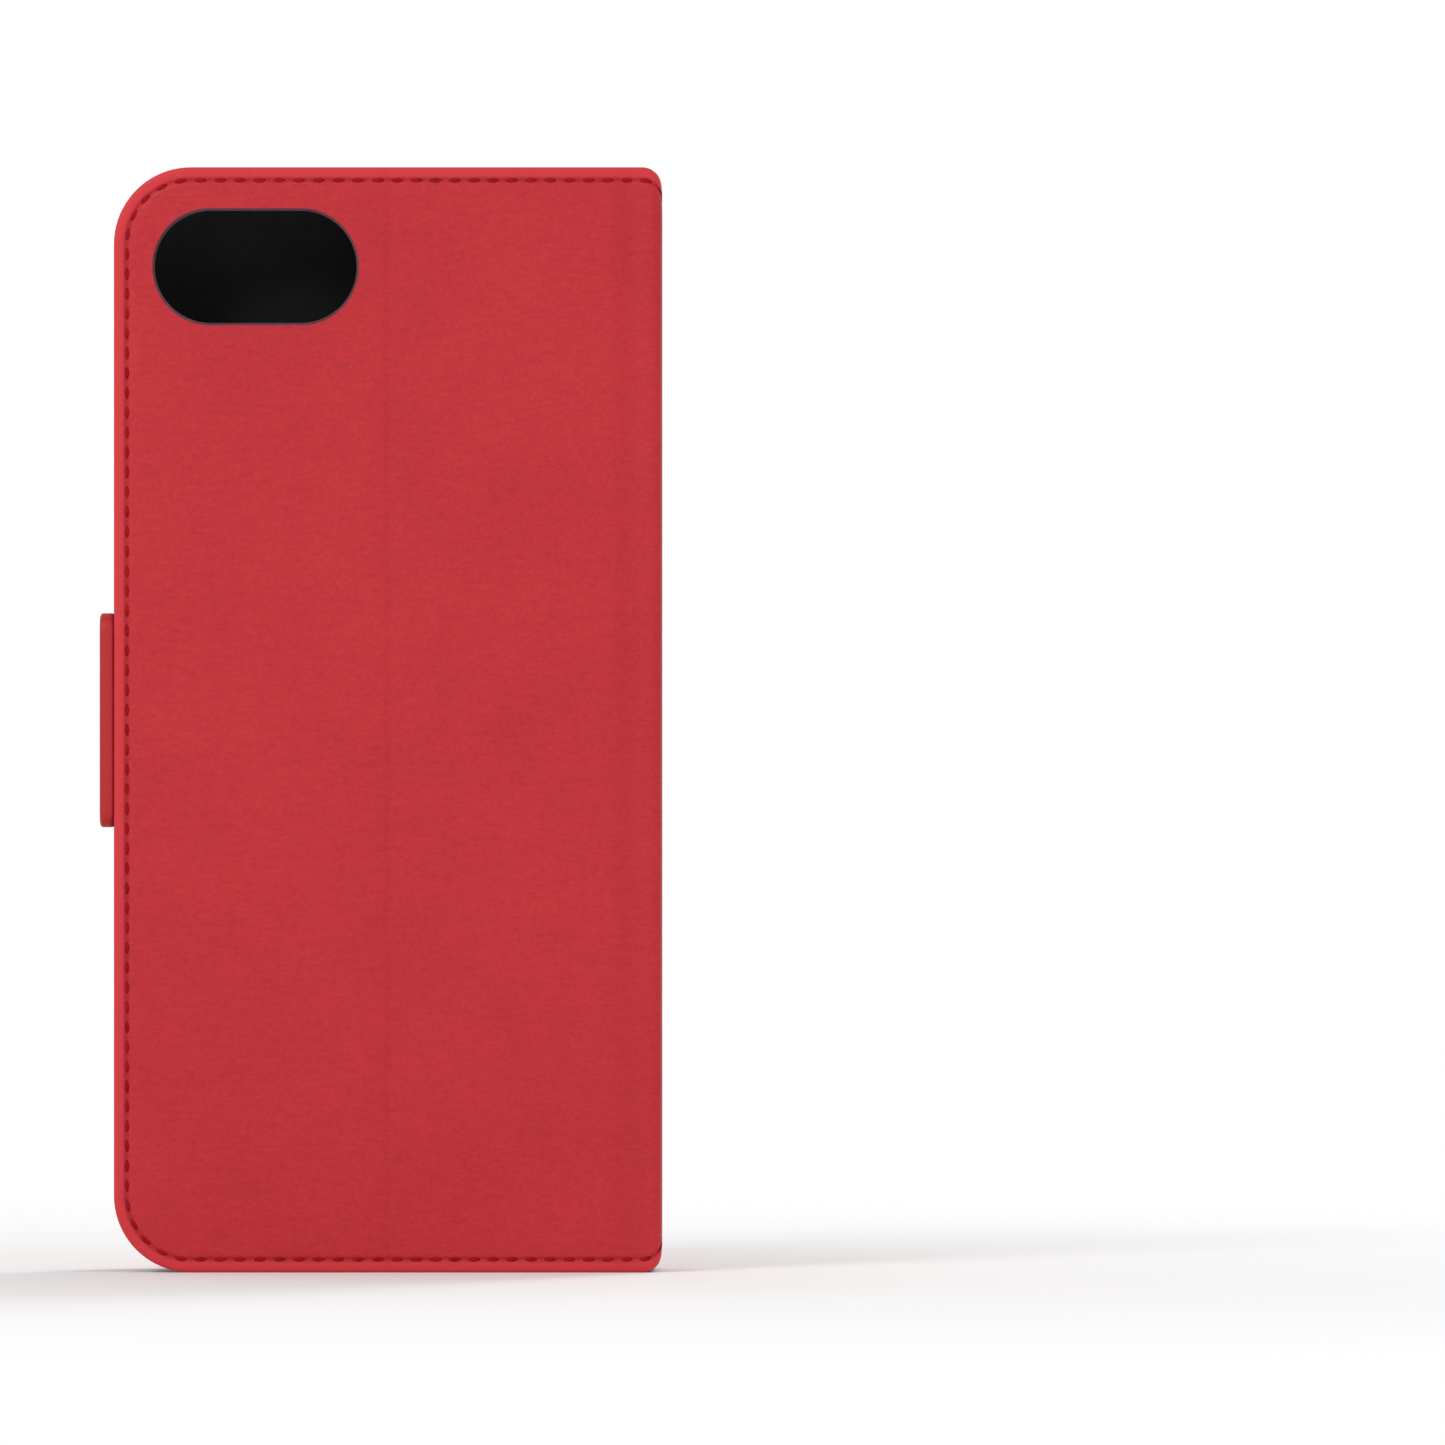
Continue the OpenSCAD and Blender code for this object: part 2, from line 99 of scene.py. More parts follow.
paintedShade = {                           # painted shade in the seam, crease, band and groove hollows: how strong, how wide
    "seam": (0.55, 0.3 * mm), "crease": (0.35, 0.5 * mm),
    "band": (0.3, 2.2 * mm), "groove": (0.5, 0.6 * mm),
}
rimStrip = {                        # the lighter strip outside the seam, a painted highlight, and the leather's inside
    "wide": 1.45 * mm, "fade": 0.3 * mm, "tint": 0.9, "inside": 0.35,
}
coverDepth = leather["skin"] + leather["board"]
reach = leather["bendReach"]
bendLength = 2 * reach - (2 - math.pi / 2) * leather["bendRadius"]

# distance along the leather sheet: back free edge, round the spine, to the front free edge
backEnd = caseWide - reach
spineStart = backEnd + bendLength
spineEnd = spineStart + caseDeep - 2 * reach
frontStart = spineEnd + bendLength
sheetWide = frontStart + caseWide - reach
creaseAt = freeX - creaseX
grooveAt = frontStart + grooveX - spineX - reach
bodyCuts = {                        # where one length of leather ends and the next begins
    "back": backEnd - 11 * mm,
    "spine": (spineStart + spineEnd) / 2,
    "gutter": frontStart + 0.8 * mm,
}


def smoothStep(t):
    t = min(max(t, 0.0), 1.0)
    return t * t * (3 - 2 * t)


def bell(distance, width):
    return math.exp(-(distance / width) ** 2)


def innerDepth(s):
    # the leather's inner face: deep where there is a board, shallow round the spine and gutter
    thin, thick = leather["skin"], coverDepth
    if s < frontStart:
        return thick + (thin - thick) * smoothStep((s - backEnd) / bendLength)
    step = leather["boardStep"]
    return thin + (thick - thin) * smoothStep((s - grooveAt + step / 2) / step)


def valleyDepth(s):
    # how far the outer face dips where the leather folds
    dip = dips["crease"] * bell(s - creaseAt, dips["creaseWide"])
    dip += dips["spread"] * bell(s - creaseAt, dips["spreadWide"])
    fromBand = caseWide - s - dips["bandAt"]
    if abs(fromBand) < dips["bandHalf"]:
        dip += dips["band"] * math.cos(fromBand / dips["bandHalf"] * quarter) ** 2
    fromGroove = s - grooveAt
    dip += dips["groove"] * bell(fromGroove, dips["grooveWide"])
    if -dips["gutterWide"] < fromGroove < 0:
        dip += dips["gutter"] * math.sin(fromGroove / dips["gutterWide"] * math.pi) ** 2
    return dip


def bendPoint(u, depth):
    # a point round a corner: (distance from the face it comes to, distance from the face it leaves)
    r = max(leather["bendRadius"] - depth, leather["leastBend"])
    straight = reach - depth - r
    total = 2 * straight + quarter * r
    t = u * total
    if t < straight:
        return reach - t, depth
    if t > total - straight:
        return depth, reach - (total - t)
    a = (t - straight) / r
    return depth + r - r * math.sin(a), depth + r - r * math.cos(a)


def foldPoint(s, depth, z):
    # places a point of the flat sheet in the folded case
    if s <= backEnd:
        x, y = freeX - s, backY - depth
    elif s <= spineStart:
        a, b = bendPoint((s - backEnd) / bendLength, depth)
        x, y = spineX + a, backY - b
    elif s <= spineEnd:
        x, y = spineX + depth, backY - reach - (s - spineStart)
    elif s <= frontStart:
        a, b = bendPoint(1 - (s - spineEnd) / bendLength, depth)
        x, y = spineX + a, frontY + b
    else:
        x, y = spineX + reach + s - frontStart, frontY + depth
    r = leather["spineCorner"]
    near = x - spineX
    if near < r:                    # the head and tail of the spine curl in
        drop = r - math.sqrt(max(r * r - (r - max(near, 0)) ** 2, 0))
        z += drop if z < caseHigh / 2 else -drop
    return Vector((x, y, z))


# leather, thread, nap, plastic, steel and card
def newMaterial(name, colour, rough, specular=0.4, metal=0.0):
    material = bpy.data.materials.new(name)
    material.use_nodes = True
    nodes = material.node_tree.nodes
    shader = nodes["Principled BSDF"]
    shader.inputs["Base Color"].default_value = (*colour, 1)
    shader.inputs["Roughness"].default_value = rough
    shader.inputs["Metallic"].default_value = metal
    shader.inputs["Specular IOR Level"].default_value = specular
    coords = nodes.new("ShaderNodeTexCoord")
    return material, nodes, material.node_tree.links, shader, coords.outputs["Object"]


def addMapping(nodes, links, coords, scale, turn=(0, 0, 0)):
    mapping = nodes.new("ShaderNodeMapping")
    mapping.inputs["Scale"].default_value = scale
    mapping.inputs["Rotation"].default_value = turn
    links.new(coords, mapping.inputs["Vector"])
    return mapping.outputs[0]


def addNoise(nodes, links, source, scale, detail=3.0, rough=0.55, distortion=0.0, output="Fac"):
    noise = nodes.new("ShaderNodeTexNoise")
    noise.inputs["Scale"].default_value = scale
    noise.inputs["Detail"].default_value = detail
    noise.inputs["Roughness"].default_value = rough
    noise.inputs["Distortion"].default_value = distortion
    links.new(source, noise.inputs["Vector"])
    return noise.outputs[output]


def addRamp(nodes, links, source, stops):
    ramp = nodes.new("ShaderNodeValToRGB")
    elements = ramp.color_ramp.elements
    while len(elements) < len(stops):
        elements.new(0.5)
    for element, (place, colour) in zip(elements, stops):
        element.position = place
        element.color = (*colour, 1)
    links.new(source, ramp.inputs["Fac"])
    return ramp.outputs["Color"]


def addGreys(nodes, links, source, low, high, start=0.3, end=0.7):
    return addRamp(nodes, links, source, [(start, (low,) * 3), (end, (high,) * 3)])


def addMix(nodes, links, kind, factor, a, b):
    mix = nodes.new("ShaderNodeMix")
    mix.data_type = "RGBA"
    mix.blend_type = kind
    for socket, value in (("Factor", factor), ("A", a), ("B", b)):
        target = [i for i in mix.inputs if i.name == socket and i.enabled][0]
        if isinstance(value, bpy.types.NodeSocket):
            links.new(value, target)
        elif isinstance(value, tuple):
            target.default_value = (*value, 1)
        else:
            target.default_value = value
    return [o for o in mix.outputs if o.enabled][0]


def addMath(nodes, links, kind, a, b):
    node = nodes.new("ShaderNodeMath")
    node.operation = kind
    for i, value in enumerate((a, b)):
        if isinstance(value, bpy.types.NodeSocket):
            links.new(value, node.inputs[i])
        else:
            node.inputs[i].default_value = value
    return node.outputs[0]


def addBump(nodes, links, height, distance, strength=1.0, under=None):
    bump = nodes.new("ShaderNodeBump")
    bump.inputs["Distance"].default_value = distance
    bump.inputs["Strength"].default_value = strength
    links.new(height, bump.inputs["Height"])
    if under:
        links.new(under, bump.inputs["Normal"])
    return bump.outputs["Normal"]


def grainedLeather(name, deep, plain, light, rim, grain=1.0):
    material, nodes, links, shader, coords = newMaterial(name, plain, 0.55, 0.24)
    # pebble grain: small cells, bent a little by a coarser noise
    bend = addNoise(nodes, links, coords, 420, 2, output="Color")
    offset = nodes.new("ShaderNodeVectorMath")
    offset.operation = "MULTIPLY_ADD"
    offset.inputs[1].default_value = (0.0011, 0.0011, 0.0011)
    links.new(bend, offset.inputs[0])
    links.new(coords, offset.inputs[2])
    cells = nodes.new("ShaderNodeTexVoronoi")
    cells.feature = "SMOOTH_F1"
    cells.inputs["Scale"].default_value = 1900
    cells.inputs["Smoothness"].default_value = 0.6
    links.new(offset.outputs[0], cells.inputs["Vector"])
    # short fine creases that lie across the case
    flow = addMapping(nodes, links, coords, (520, 520, 2100), (0, 0.05, 0))
    creases = addNoise(nodes, links, flow, 1.0, 4, 0.62, 0.8)
    longFlow = addMapping(nodes, links, coords, (42, 42, 260), (0, -0.09, 0))
    folds = addNoise(nodes, links, longFlow, 1.0, 3, 0.6, 1.2)
    pores = addNoise(nodes, links, coords, 5200, 2, 0.5)
    height = addMath(nodes, links, "MULTIPLY", cells.outputs["Distance"], -0.7)
    height = addMath(nodes, links, "ADD", height, creases)
    fine = addBump(nodes, links, pores, 0.00001 * grain, 0.6)
    middle = addBump(nodes, links, height, 0.00005 * grain, 0.75, fine)
    relief = addBump(nodes, links, folds, 0.00028 * grain, 0.35, middle)
    links.new(relief, shader.inputs["Normal"])
    # colour: broad cloudy patches, faint cross streaks and grain in the hollows
    cloud = addNoise(nodes, links, coords, 38, 3, 0.6, 0.4)
    patches = addRamp(nodes, links, cloud, [(0.25, deep), (0.52, plain), (0.80, light)])
    stops = [(0.30, (0.84, 0.82, 0.82)), (0.62, (1.06, 1.06, 1.06))]
    streaks = addRamp(nodes, links, creases, stops)
    colour = addMix(nodes, links, "MULTIPLY", 0.62, patches, streaks)
    stops = [(0.25, (1.04, 1.04, 1.04)), (0.75, (0.88, 0.86, 0.86))]
    hollow = addRamp(nodes, links, cells.outputs["Distance"], stops)
    colour = addMix(nodes, links, "MULTIPLY", 0.6, colour, hollow)
    # painted highlight: the lighter rim colour is mixed in outside the seam
    edge = nodes.new("ShaderNodeAttribute")
    edge.attribute_name = "rimTint"
    colour = addMix(nodes, links, "MIX", edge.outputs["Fac"], colour, rim)
    # painted shade: the colour darkens along the seam, crease, band and groove hollows
    seam = nodes.new("ShaderNodeAttribute")
    seam.attribute_name = "hollowShade"
    dark = addMix(nodes, links, "MULTIPLY", seam.outputs["Fac"], colour, (0.86, 0.80, 0.80))
    links.new(dark, shader.inputs["Base Color"])
    gloss = addGreys(nodes, links, creases, 0.44, 0.60, 0.2, 0.8)
    links.new(gloss, shader.inputs["Roughness"])
    return material


def sewingThread(name, dark, plain):
    material, nodes, links, shader, coords = newMaterial(name, plain, 0.7, 0.12)
    fibre = addNoise(nodes, links, coords, 6500, 3, 0.6)
    tone = addNoise(nodes, links, coords, 700, 2)
    colour = addRamp(nodes, links, tone, [(0.3, dark), (0.7, plain)])
    shade = addGreys(nodes, links, fibre, 0.75, 1.1)
    shaded = addMix(nodes, links, "MULTIPLY", 0.8, colour, shade)
    links.new(shaded, shader.inputs["Base Color"])
    links.new(addBump(nodes, links, fibre, 0.00005, 0.8), shader.inputs["Normal"])
    return material


def shortNap(name, dark, plain, rough=0.95):
    material, nodes, links, shader, coords = newMaterial(name, plain, rough, 0.12)
    shader.inputs["Sheen Weight"].default_value = 0.35
    shader.inputs["Sheen Roughness"].default_value = 0.5
    shader.inputs["Sheen Tint"].default_value = (0.5, 0.5, 0.52, 1)
    fibre = addNoise(nodes, links, coords, 5200, 4, 0.7)
    brushed = addNoise(nodes, links, coords, 55, 3, 0.6, 0.7)
    colour = addRamp(nodes, links, brushed, [(0.32, dark), (0.7, plain)])
    shade = addGreys(nodes, links, fibre, 0.62, 1.25)
    shaded = addMix(nodes, links, "MULTIPLY", 0.8, colour, shade)
    links.new(shaded, shader.inputs["Base Color"])
    links.new(addBump(nodes, links, fibre, 0.00008, 0.9), shader.inputs["Normal"])
    return material


def mouldedPlastic(name, dark, plain, rough=0.5):
    material, nodes, links, shader, coords = newMaterial(name, plain, rough, 0.4)
    sparks = addNoise(nodes, links, coords, 3600, 2, 0.5)
    flow = addNoise(nodes, links, coords, 60, 3)
    colour = addRamp(nodes, links, flow, [(0.3, dark), (0.7, plain)])
    links.new(colour, shader.inputs["Base Color"])
    gloss = addGreys(nodes, links, flow, rough - 0.08, rough + 0.1)
    links.new(gloss, shader.inputs["Roughness"])
    links.new(addBump(nodes, links, sparks, 0.00002, 0.7), shader.inputs["Normal"])
    return material


def rolledSteel(name, plain, rough):
    material, nodes, links, shader, coords = newMaterial(name, plain, rough, 0.5, 1.0)
    flow = addMapping(nodes, links, coords, (4000, 4000, 90))
    lines = addNoise(nodes, links, flow, 1.0, 3)
    gloss = addGreys(nodes, links, lines, rough - 0.08, rough + 0.12)
    links.new(gloss, shader.inputs["Roughness"])
    links.new(addBump(nodes, links, lines, 0.00001, 0.5), shader.inputs["Normal"])
    return material


def pressedCard(name, dark, plain):
    material, nodes, links, shader, coords = newMaterial(name, plain, 0.9, 0.15)
    fleck = addNoise(nodes, links, coords, 900, 5, 0.7)
    colour = addRamp(nodes, links, fleck, [(0.3, dark), (0.65, plain)])
    links.new(colour, shader.inputs["Base Color"])
    links.new(addBump(nodes, links, fleck, 0.00004, 0.6), shader.inputs["Normal"])
    return material


# each leather's colours: the deep patches, the plain ones, the light ones and the rim outside the seam, a
# painted highlight
redLeather = grainedLeather("redLeather", (0.503, 0.0225, 0.0320), (0.534, 0.0255, 0.0355),
                            (0.560, 0.0290, 0.0390), (0.635, 0.0370, 0.0470))
# the tab's leather is the case's red darkened as painted shade, where the tab sits back from the covers
shadedTabLeather = grainedLeather("shadedTabLeather", (0.395, 0.0165, 0.0210), (0.425, 0.0195, 0.0245),
                            (0.450, 0.0225, 0.0275), (0.470, 0.0240, 0.0290))
pocketLeather = grainedLeather("pocketLeather", (0.012, 0.012, 0.013), (0.018, 0.018, 0.020),
                               (0.026, 0.026, 0.028), (0.024, 0.024, 0.026), 0.7)
redThread = sewingThread("redThread", (0.270, 0.0030, 0.007), (0.400, 0.0055, 0.011))
blackThread = sewingThread("blackThread", (0.010, 0.010, 0.011), (0.028, 0.028, 0.030))
liningNap = shortNap("liningNap", (0.013, 0.013, 0.014), (0.019, 0.019, 0.020))
cutEdge = shortNap("cutEdge", (0.090, 0.030, 0.042), (0.150, 0.052, 0.068), 0.8)
trayPlastic = mouldedPlastic("trayPlastic", (0.010, 0.010, 0.011), (0.016, 0.016, 0.018))
plateSteel = rolledSteel("plateSteel", (0.60, 0.60, 0.62), 0.32)
magnetNickel = rolledSteel("magnetNickel", (0.66, 0.64, 0.60), 0.22)
boardCard = pressedCard("boardCard", (0.28, 0.26, 0.23), (0.42, 0.40, 0.36))
adhesiveFilm = mouldedPlastic("adhesiveFilm", (0.45, 0.45, 0.42), (0.55, 0.55, 0.52), 0.35)
print("materials made")


# mesh helpers that several pieces share
def finishMesh(name, bm, material, angle=32, turnOut=True):
    if turnOut:
        bmesh.ops.recalc_face_normals(bm, faces=bm.faces)
    mesh = bpy.data.meshes.new(name)
    bm.to_mesh(mesh)
    bm.free()
    mesh.shade_smooth()
    mesh.set_sharp_from_angle(angle=math.radians(angle))
    obj = bpy.data.objects.new(name, mesh)
    bpy.context.scene.collection.objects.link(obj)
    mesh.materials.append(material)
    return obj


def shift(bm, verts, vec):
    bmesh.ops.translate(bm, vec=vec, verts=verts)


def turnAbout(bm, verts, angle, axis):
    # turns points about an axis through the origin
    bmesh.ops.rotate(bm, cent=(0, 0, 0), matrix=Matrix.Rotation(angle, 3, axis), verts=verts)


def pullFace(bm, face):
    # extrudes one face on the spot and gives back the new one
    made = bmesh.ops.extrude_face_region(bm, geom=[face])["geom"]
    return [part for part in made if isinstance(part, bmesh.types.BMFace)][0]


def sliceFlat(bm, place, normal, **sides):
    # cuts a mesh with a plane, and closes the cut where one side is cleared away
    geom = list(bm.verts) + list(bm.edges) + list(bm.faces)
    done = bmesh.ops.bisect_plane(bm, geom=geom, dist=1e-7, plane_co=place, plane_no=normal, **sides)
    if sides:
        rim = [part for part in done["geom_cut"] if isinstance(part, bmesh.types.BMEdge)]
        bmesh.ops.holes_fill(bm, edges=rim, sides=0)
    return done["geom_cut"]


def faceBothOut(bm, outer):
    # turns the two broad faces of a plate outwards and gives back the inner one
    bm.normal_update()
    inner = [face for face in bm.faces if len(face.verts) > 4 and face is not outer][0]
    if outer.normal.y > 0:
        outer.normal_flip()
    if inner.normal.y < 0:
        inner.normal_flip()
    return inner


def cutAway(obj, cutters):
    # takes each cutter's shape out of a piece, then throws the cutters away
    for cutter in cutters:
        modifier = obj.modifiers.new("cut", "BOOLEAN")
        modifier.operation = "DIFFERENCE"
        modifier.solver = "EXACT"
        modifier.object = cutter
    bpy.context.view_layer.update()
    done = bpy.data.meshes.new_from_object(obj.evaluated_get(bpy.context.evaluated_depsgraph_get()))
    obj.modifiers.clear()
    obj.data = done
    for cutter in cutters:
        bpy.data.objects.remove(cutter)
    done.shade_smooth()
    done.set_sharp_from_angle(angle=math.radians(32))
    bm = bmesh.new()
    bm.from_mesh(done)
    for edge in bm.edges:           # keeps the broad face flat where a cut's rounded lip meets it
        if len({face.material_index for face in edge.link_faces}) > 1:
            edge.smooth = False
    bm.to_mesh(done)
    bm.free()


def roundedPlate(wide, high, radius, segments=14):
    # a flat round-cornered face, centred, in X and Z, facing -Y
    bm = bmesh.new()
    bmesh.ops.create_grid(bm, x_segments=1, y_segments=1, size=1)
    side = max(v.co.x for v in bm.verts) - min(v.co.x for v in bm.verts)
    bmesh.ops.scale(bm, vec=(wide / side, high / side, 1), verts=bm.verts)
    turnAbout(bm, bm.verts, quarter, "X")
    bmesh.ops.bevel(bm, geom=list(bm.verts), offset=radius, segments=segments, profile=0.5,
                    affect="VERTICES", material=-1)
    bm.faces.ensure_lookup_table()
    bm.normal_update()
    return bm


def pillPlate(long, high, segments):
    # a plate whose two ends are half circles
    bm = roundedPlate(long, high, high / 2 - 1e-6, segments)
    bmesh.ops.remove_doubles(bm, verts=bm.verts, dist=1e-6)
    bm.faces.ensure_lookup_table()
    return bm


def growCap(bm, cap, steps):
    # steps in from a cap's edge and along its normal, ring by ring: (inwards, outwards)
    for inward, outward in steps:
        bmesh.ops.inset_region(bm, faces=[cap], thickness=inward, depth=outward, use_even_offset=True)


def roundedBlock(name, wide, high, thick, corner, lip, place, material=None, rounding=3):
    # a block with round corners and a rounded edge front and back; place is its middle
    bm = roundedPlate(wide, high, corner)
    turns = [i * quarter / rounding for i in range(rounding + 1)]
    arc = [(lip * (math.cos(a) - math.cos(b)), lip * (math.sin(b) - math.sin(a)))
           for a, b in zip(turns, turns[1:])]
    top = pullFace(bm, bm.faces[0])
    shift(bm, top.verts, (0, -(thick - 2 * lip), 0))
    for face in (top, faceBothOut(bm, top)):
        growCap(bm, face, arc)
    shift(bm, bm.verts, Vector(place) + Vector((0, (thick - 2 * lip) / 2, 0)))
    return finishMesh(name, bm, material or trayPlastic)


# the leather sheet is made flat, then folded round the case
def flatSheet(inset, outerSteps, rimDepth, innerSteps):
    # a slab in the sheet's own plane: X runs along the sheet, Z up it, -Y is its outer face
    wide, high = sheetWide - 2 * inset, caseHigh - 2 * inset
    bm = roundedPlate(wide, high, leather["cornerRadius"] - inset, 20)
    outer = pullFace(bm, bm.faces[0])
    shift(bm, outer.verts, (0, -rimDepth, 0))
    inner = faceBothOut(bm, outer)
    growCap(bm, outer, outerSteps)
    growCap(bm, inner, innerSteps)
    shift(bm, bm.verts, (sheetWide / 2, 0, caseHigh / 2))
    return bm


def crossCuts(start, end):
    # where the sheet is cut across, close together at the folds
    cuts = []
    for middle, offsets in ((creaseAt, (0, 0.2, 0.4, 0.7, 1.1, 1.7, 2.4, 3.4)),
                            (grooveAt, (0, 0.2, 0.4, 0.65, 0.95, 1.3, 1.8, 2.4, 3.1))):
        for offset in offsets:
            cuts += [middle - offset * mm, middle + offset * mm]
    cuts += [backEnd - i * 0.4 * mm for i in range(12)]
    for first in (backEnd, spineEnd):
        cuts += [first + bendLength * i / 22 for i in range(23)]
    cuts += [spineStart + (spineEnd - spineStart) * i / 4 for i in range(1, 4)]
    cuts += [frontStart + i * 0.4 * mm for i in range(4)]
    kept = []
    for cut in sorted(cuts):
        if start < cut < end and (not kept or cut - kept[-1] > 0.06 * mm):
            kept.append(cut)
    return kept


def sliceSheet(bm, start, end):
    # keeps the stretch between two places along the sheet and closes its ends
    piece = bm.copy()
    for place, keepAbove in ((start, True), (end, False)):
        if 0 < place < sheetWide:
            sliceFlat(piece, (place, 0, 0), (1, 0, 0), clear_inner=keepAbove, clear_outer=not keepAbove)
    for cut in crossCuts(start, end):
        sliceFlat(piece, (cut, 0, 0), (1, 0, 0))
    return piece


def edgeDistance(s, z):
    # how far a point of the flat sheet lies in from its outline
    r = leather["cornerRadius"]
    across = min(s, sheetWide - s)
    along = min(z, caseHigh - z)
    if across < r and along < r:
        return r - math.hypot(r - across, r - along)
    return min(across, along)


def foldSheet(bm, outerFace, liningSheet=False):
    # gives every point its depth, its painted highlight and painted shade, and its place in the folded case
    rimTint = bm.verts.layers.float.new("rimTint")
    hollowShade = bm.verts.layers.float.new("hollowShade")
    for vert in bm.verts:
        s, depth, z = vert.co.x, vert.co.y + outerFace, vert.co.z
        inner = innerDepth(s)
        if liningSheet:
            depth += inner
        elif depth > 0.85 * leather["skin"]:
            depth = inner - (coverDepth - depth) * min(1, inner / coverDepth)
        else:
            depth += valleyDepth(s) * (1 - depth / leather["skin"])
        fromEdge = edgeDistance(s, z)
        if not liningSheet:
            # painted highlight on the strip outside the seam; the leather's inside gets a lighter tint
            outside = rimStrip["tint"] * smoothStep((rimStrip["wide"] - fromEdge) / rimStrip["fade"])
            vert[rimTint] = outside if depth < leather["skin"] else rimStrip["inside"]
            # painted shade along the seam, crease, band and groove hollows
            hollows = {"seam": fromEdge - leather["seamInset"], "crease": s - creaseAt,
                       "band": caseWide - s - dips["bandShadeAt"], "groove": s - grooveAt}
            dark = sum(strong * bell(hollows[n], wide) for n, (strong, wide) in paintedShade.items())
            vert[hollowShade] = min(1, dark)
        vert.co = foldPoint(s, depth, z)


print("sheet tools ready")
# steps in millimetres from the rim: (inwards, outwards), with a dip where the seam runs
skinOuter = [(0.05, 0.14), (0.10, 0.13), (0.16, 0.10), (0.24, 0.05), (0.60, 0.02), (0.24, -0.04),
             (0.16, -0.13), (0.12, -0.09), (0.14, 0.0), (0.12, 0.09), (0.16, 0.12), (0.30, 0.05), (0.9, 0.0)]
skinInner = [(0.05, 0.10), (0.12, 0.08), (0.18, 0.04), (0.9, 0.0)]
skinTop = sum(step[1] for step in skinOuter)
skinUnder = sum(step[1] for step in skinInner)
skinRim = coverDepth / mm - skinTop - skinUnder


def inMm(steps):
    return [(a * mm, b * mm) for a, b in steps]


wholeSkin = flatSheet(0, inMm(skinOuter), skinRim * mm, inMm(skinInner))
liningSteps = [(0.08, 0.06), (0.14, 0.03), (0.9, 0.0)]
liningTop = sum(step[1] for step in liningSteps)
liningRim = leather["lining"] / mm - 2 * liningTop
wholeLining = flatSheet(leather["liningInset"], inMm(liningSteps), liningRim * mm, inMm(liningSteps))
skinFace = (skinRim + skinTop) * mm
liningFace = (liningRim + liningTop) * mm

# each length of leather spans one fold and lists the two bodies on either side of it
stretches = {
    "backCamera": {
        "from": 0, "to": bodyCuts["back"], "bodies": ("holder", "stand_flap"),
        "start": (creaseX + 1.6 * mm, backY, 0), "end": (creaseX - 1.6 * mm, backY, 0),
        "skin": ("back_skin_camera_side",), "lining": ("back_lining_camera_side",),
        "stitches": ("back_stitches_camera_side",),
    },
    "backSpine": {
        "from": bodyCuts["back"], "to": bodyCuts["spine"], "bodies": ("stand_flap", "spine"),
        "start": (spineX + 0.8 * mm, backY, 0), "end": (spineX - 1.44 * mm, backY - 1.12 * mm, 0),
        "skin": ("back_skin_spine_side",), "lining": ("back_lining_spine_side",),
        "stitches": ("back_stitches_spine_side",),
    },
    "spineGutter": {
        "from": bodyCuts["spine"], "to": bodyCuts["gutter"], "bodies": ("spine", "gutter"),
        "start": (spineX, frontY + 2.8 * mm, 0), "end": (spineX + 2.8 * mm, frontY, 0),
        "skin": ("spine_skin", "gutter_skin"), "lining": ("spine_lining", "gutter_lining"),
        "stitches": ("spine_stitches", "gutter_stitches"),
    },
    "front": {
        "from": bodyCuts["gutter"], "to": sheetWide, "bodies": ("gutter", "front_cover"),
        "start": (grooveX - 1.7 * mm, frontY, 0), "end": (grooveX + 1.7 * mm, frontY, 0),
        "skin": ("front_skin",), "lining": ("front_lining",),
        "stitches": ("front_stitches",),
    },
}

window = {
    "wide": 26.8 * mm, "high": 14.9 * mm,
    "x": freeX - 18.8 * mm, "z": caseHigh - 13.2 * mm,
    "lipRound": 0.32 * mm,
}
earSlot = {
    "wide": 8.5 * mm, "high": 2.0 * mm,
    "x": (spineX + freeX) / 2, "z": caseHigh - 7.3 * mm,
    "lipRound": 0.25 * mm,
}


def pillCutter(name, hole, faceY, inwards, depth, grow=0.0, lip=0.0, material=None):
    # a long round-ended cutter; its mouth widens at the outer face to round the edge of the cut
    wide, high = hole["wide"] + 2 * grow, hole["high"] + 2 * grow
    bm = pillPlate(wide, high, 18)
    cap = pullFace(bm, bm.faces[0])
    shift(bm, cap.verts, (0, -depth, 0))
    middle = Vector((0, -depth, 0))
    steps = 4 if lip else 0
    for i in range(1, steps + 1):
        a, before = i / steps * quarter, (i - 1) / steps * quarter
        ring = pullFace(bm, cap)
        bmesh.ops.delete(bm, geom=[cap], context="FACES_ONLY")
        cap = ring
        out = lip * (1 - math.cos(a))
        was = lip * (1 - math.cos(before))
        sx = (wide / 2 + out) / (wide / 2 + was)
        sz = (high / 2 + out) / (high / 2 + was)
        bmesh.ops.scale(bm, vec=(sx, 1, sz), space=Matrix.Translation(-middle), verts=cap.verts)
        shift(bm, cap.verts, (0, -lip * (math.sin(a) - math.sin(before)), 0))
    if lip:
        top = pullFace(bm, cap)
        bmesh.ops.delete(bm, geom=[cap], context="FACES_ONLY")
        shift(bm, top.verts, (0, -1.0 * mm, 0))
    shift(bm, bm.verts, (0, depth + lip, 0))     # its mouth is at y = 0
    if inwards < 0:
        turnAbout(bm, bm.verts, math.pi, "Z")
    shift(bm, bm.verts, (hole["x"], faceY, hole["z"]))
    return finishMesh(name, bm, material or cutEdge)


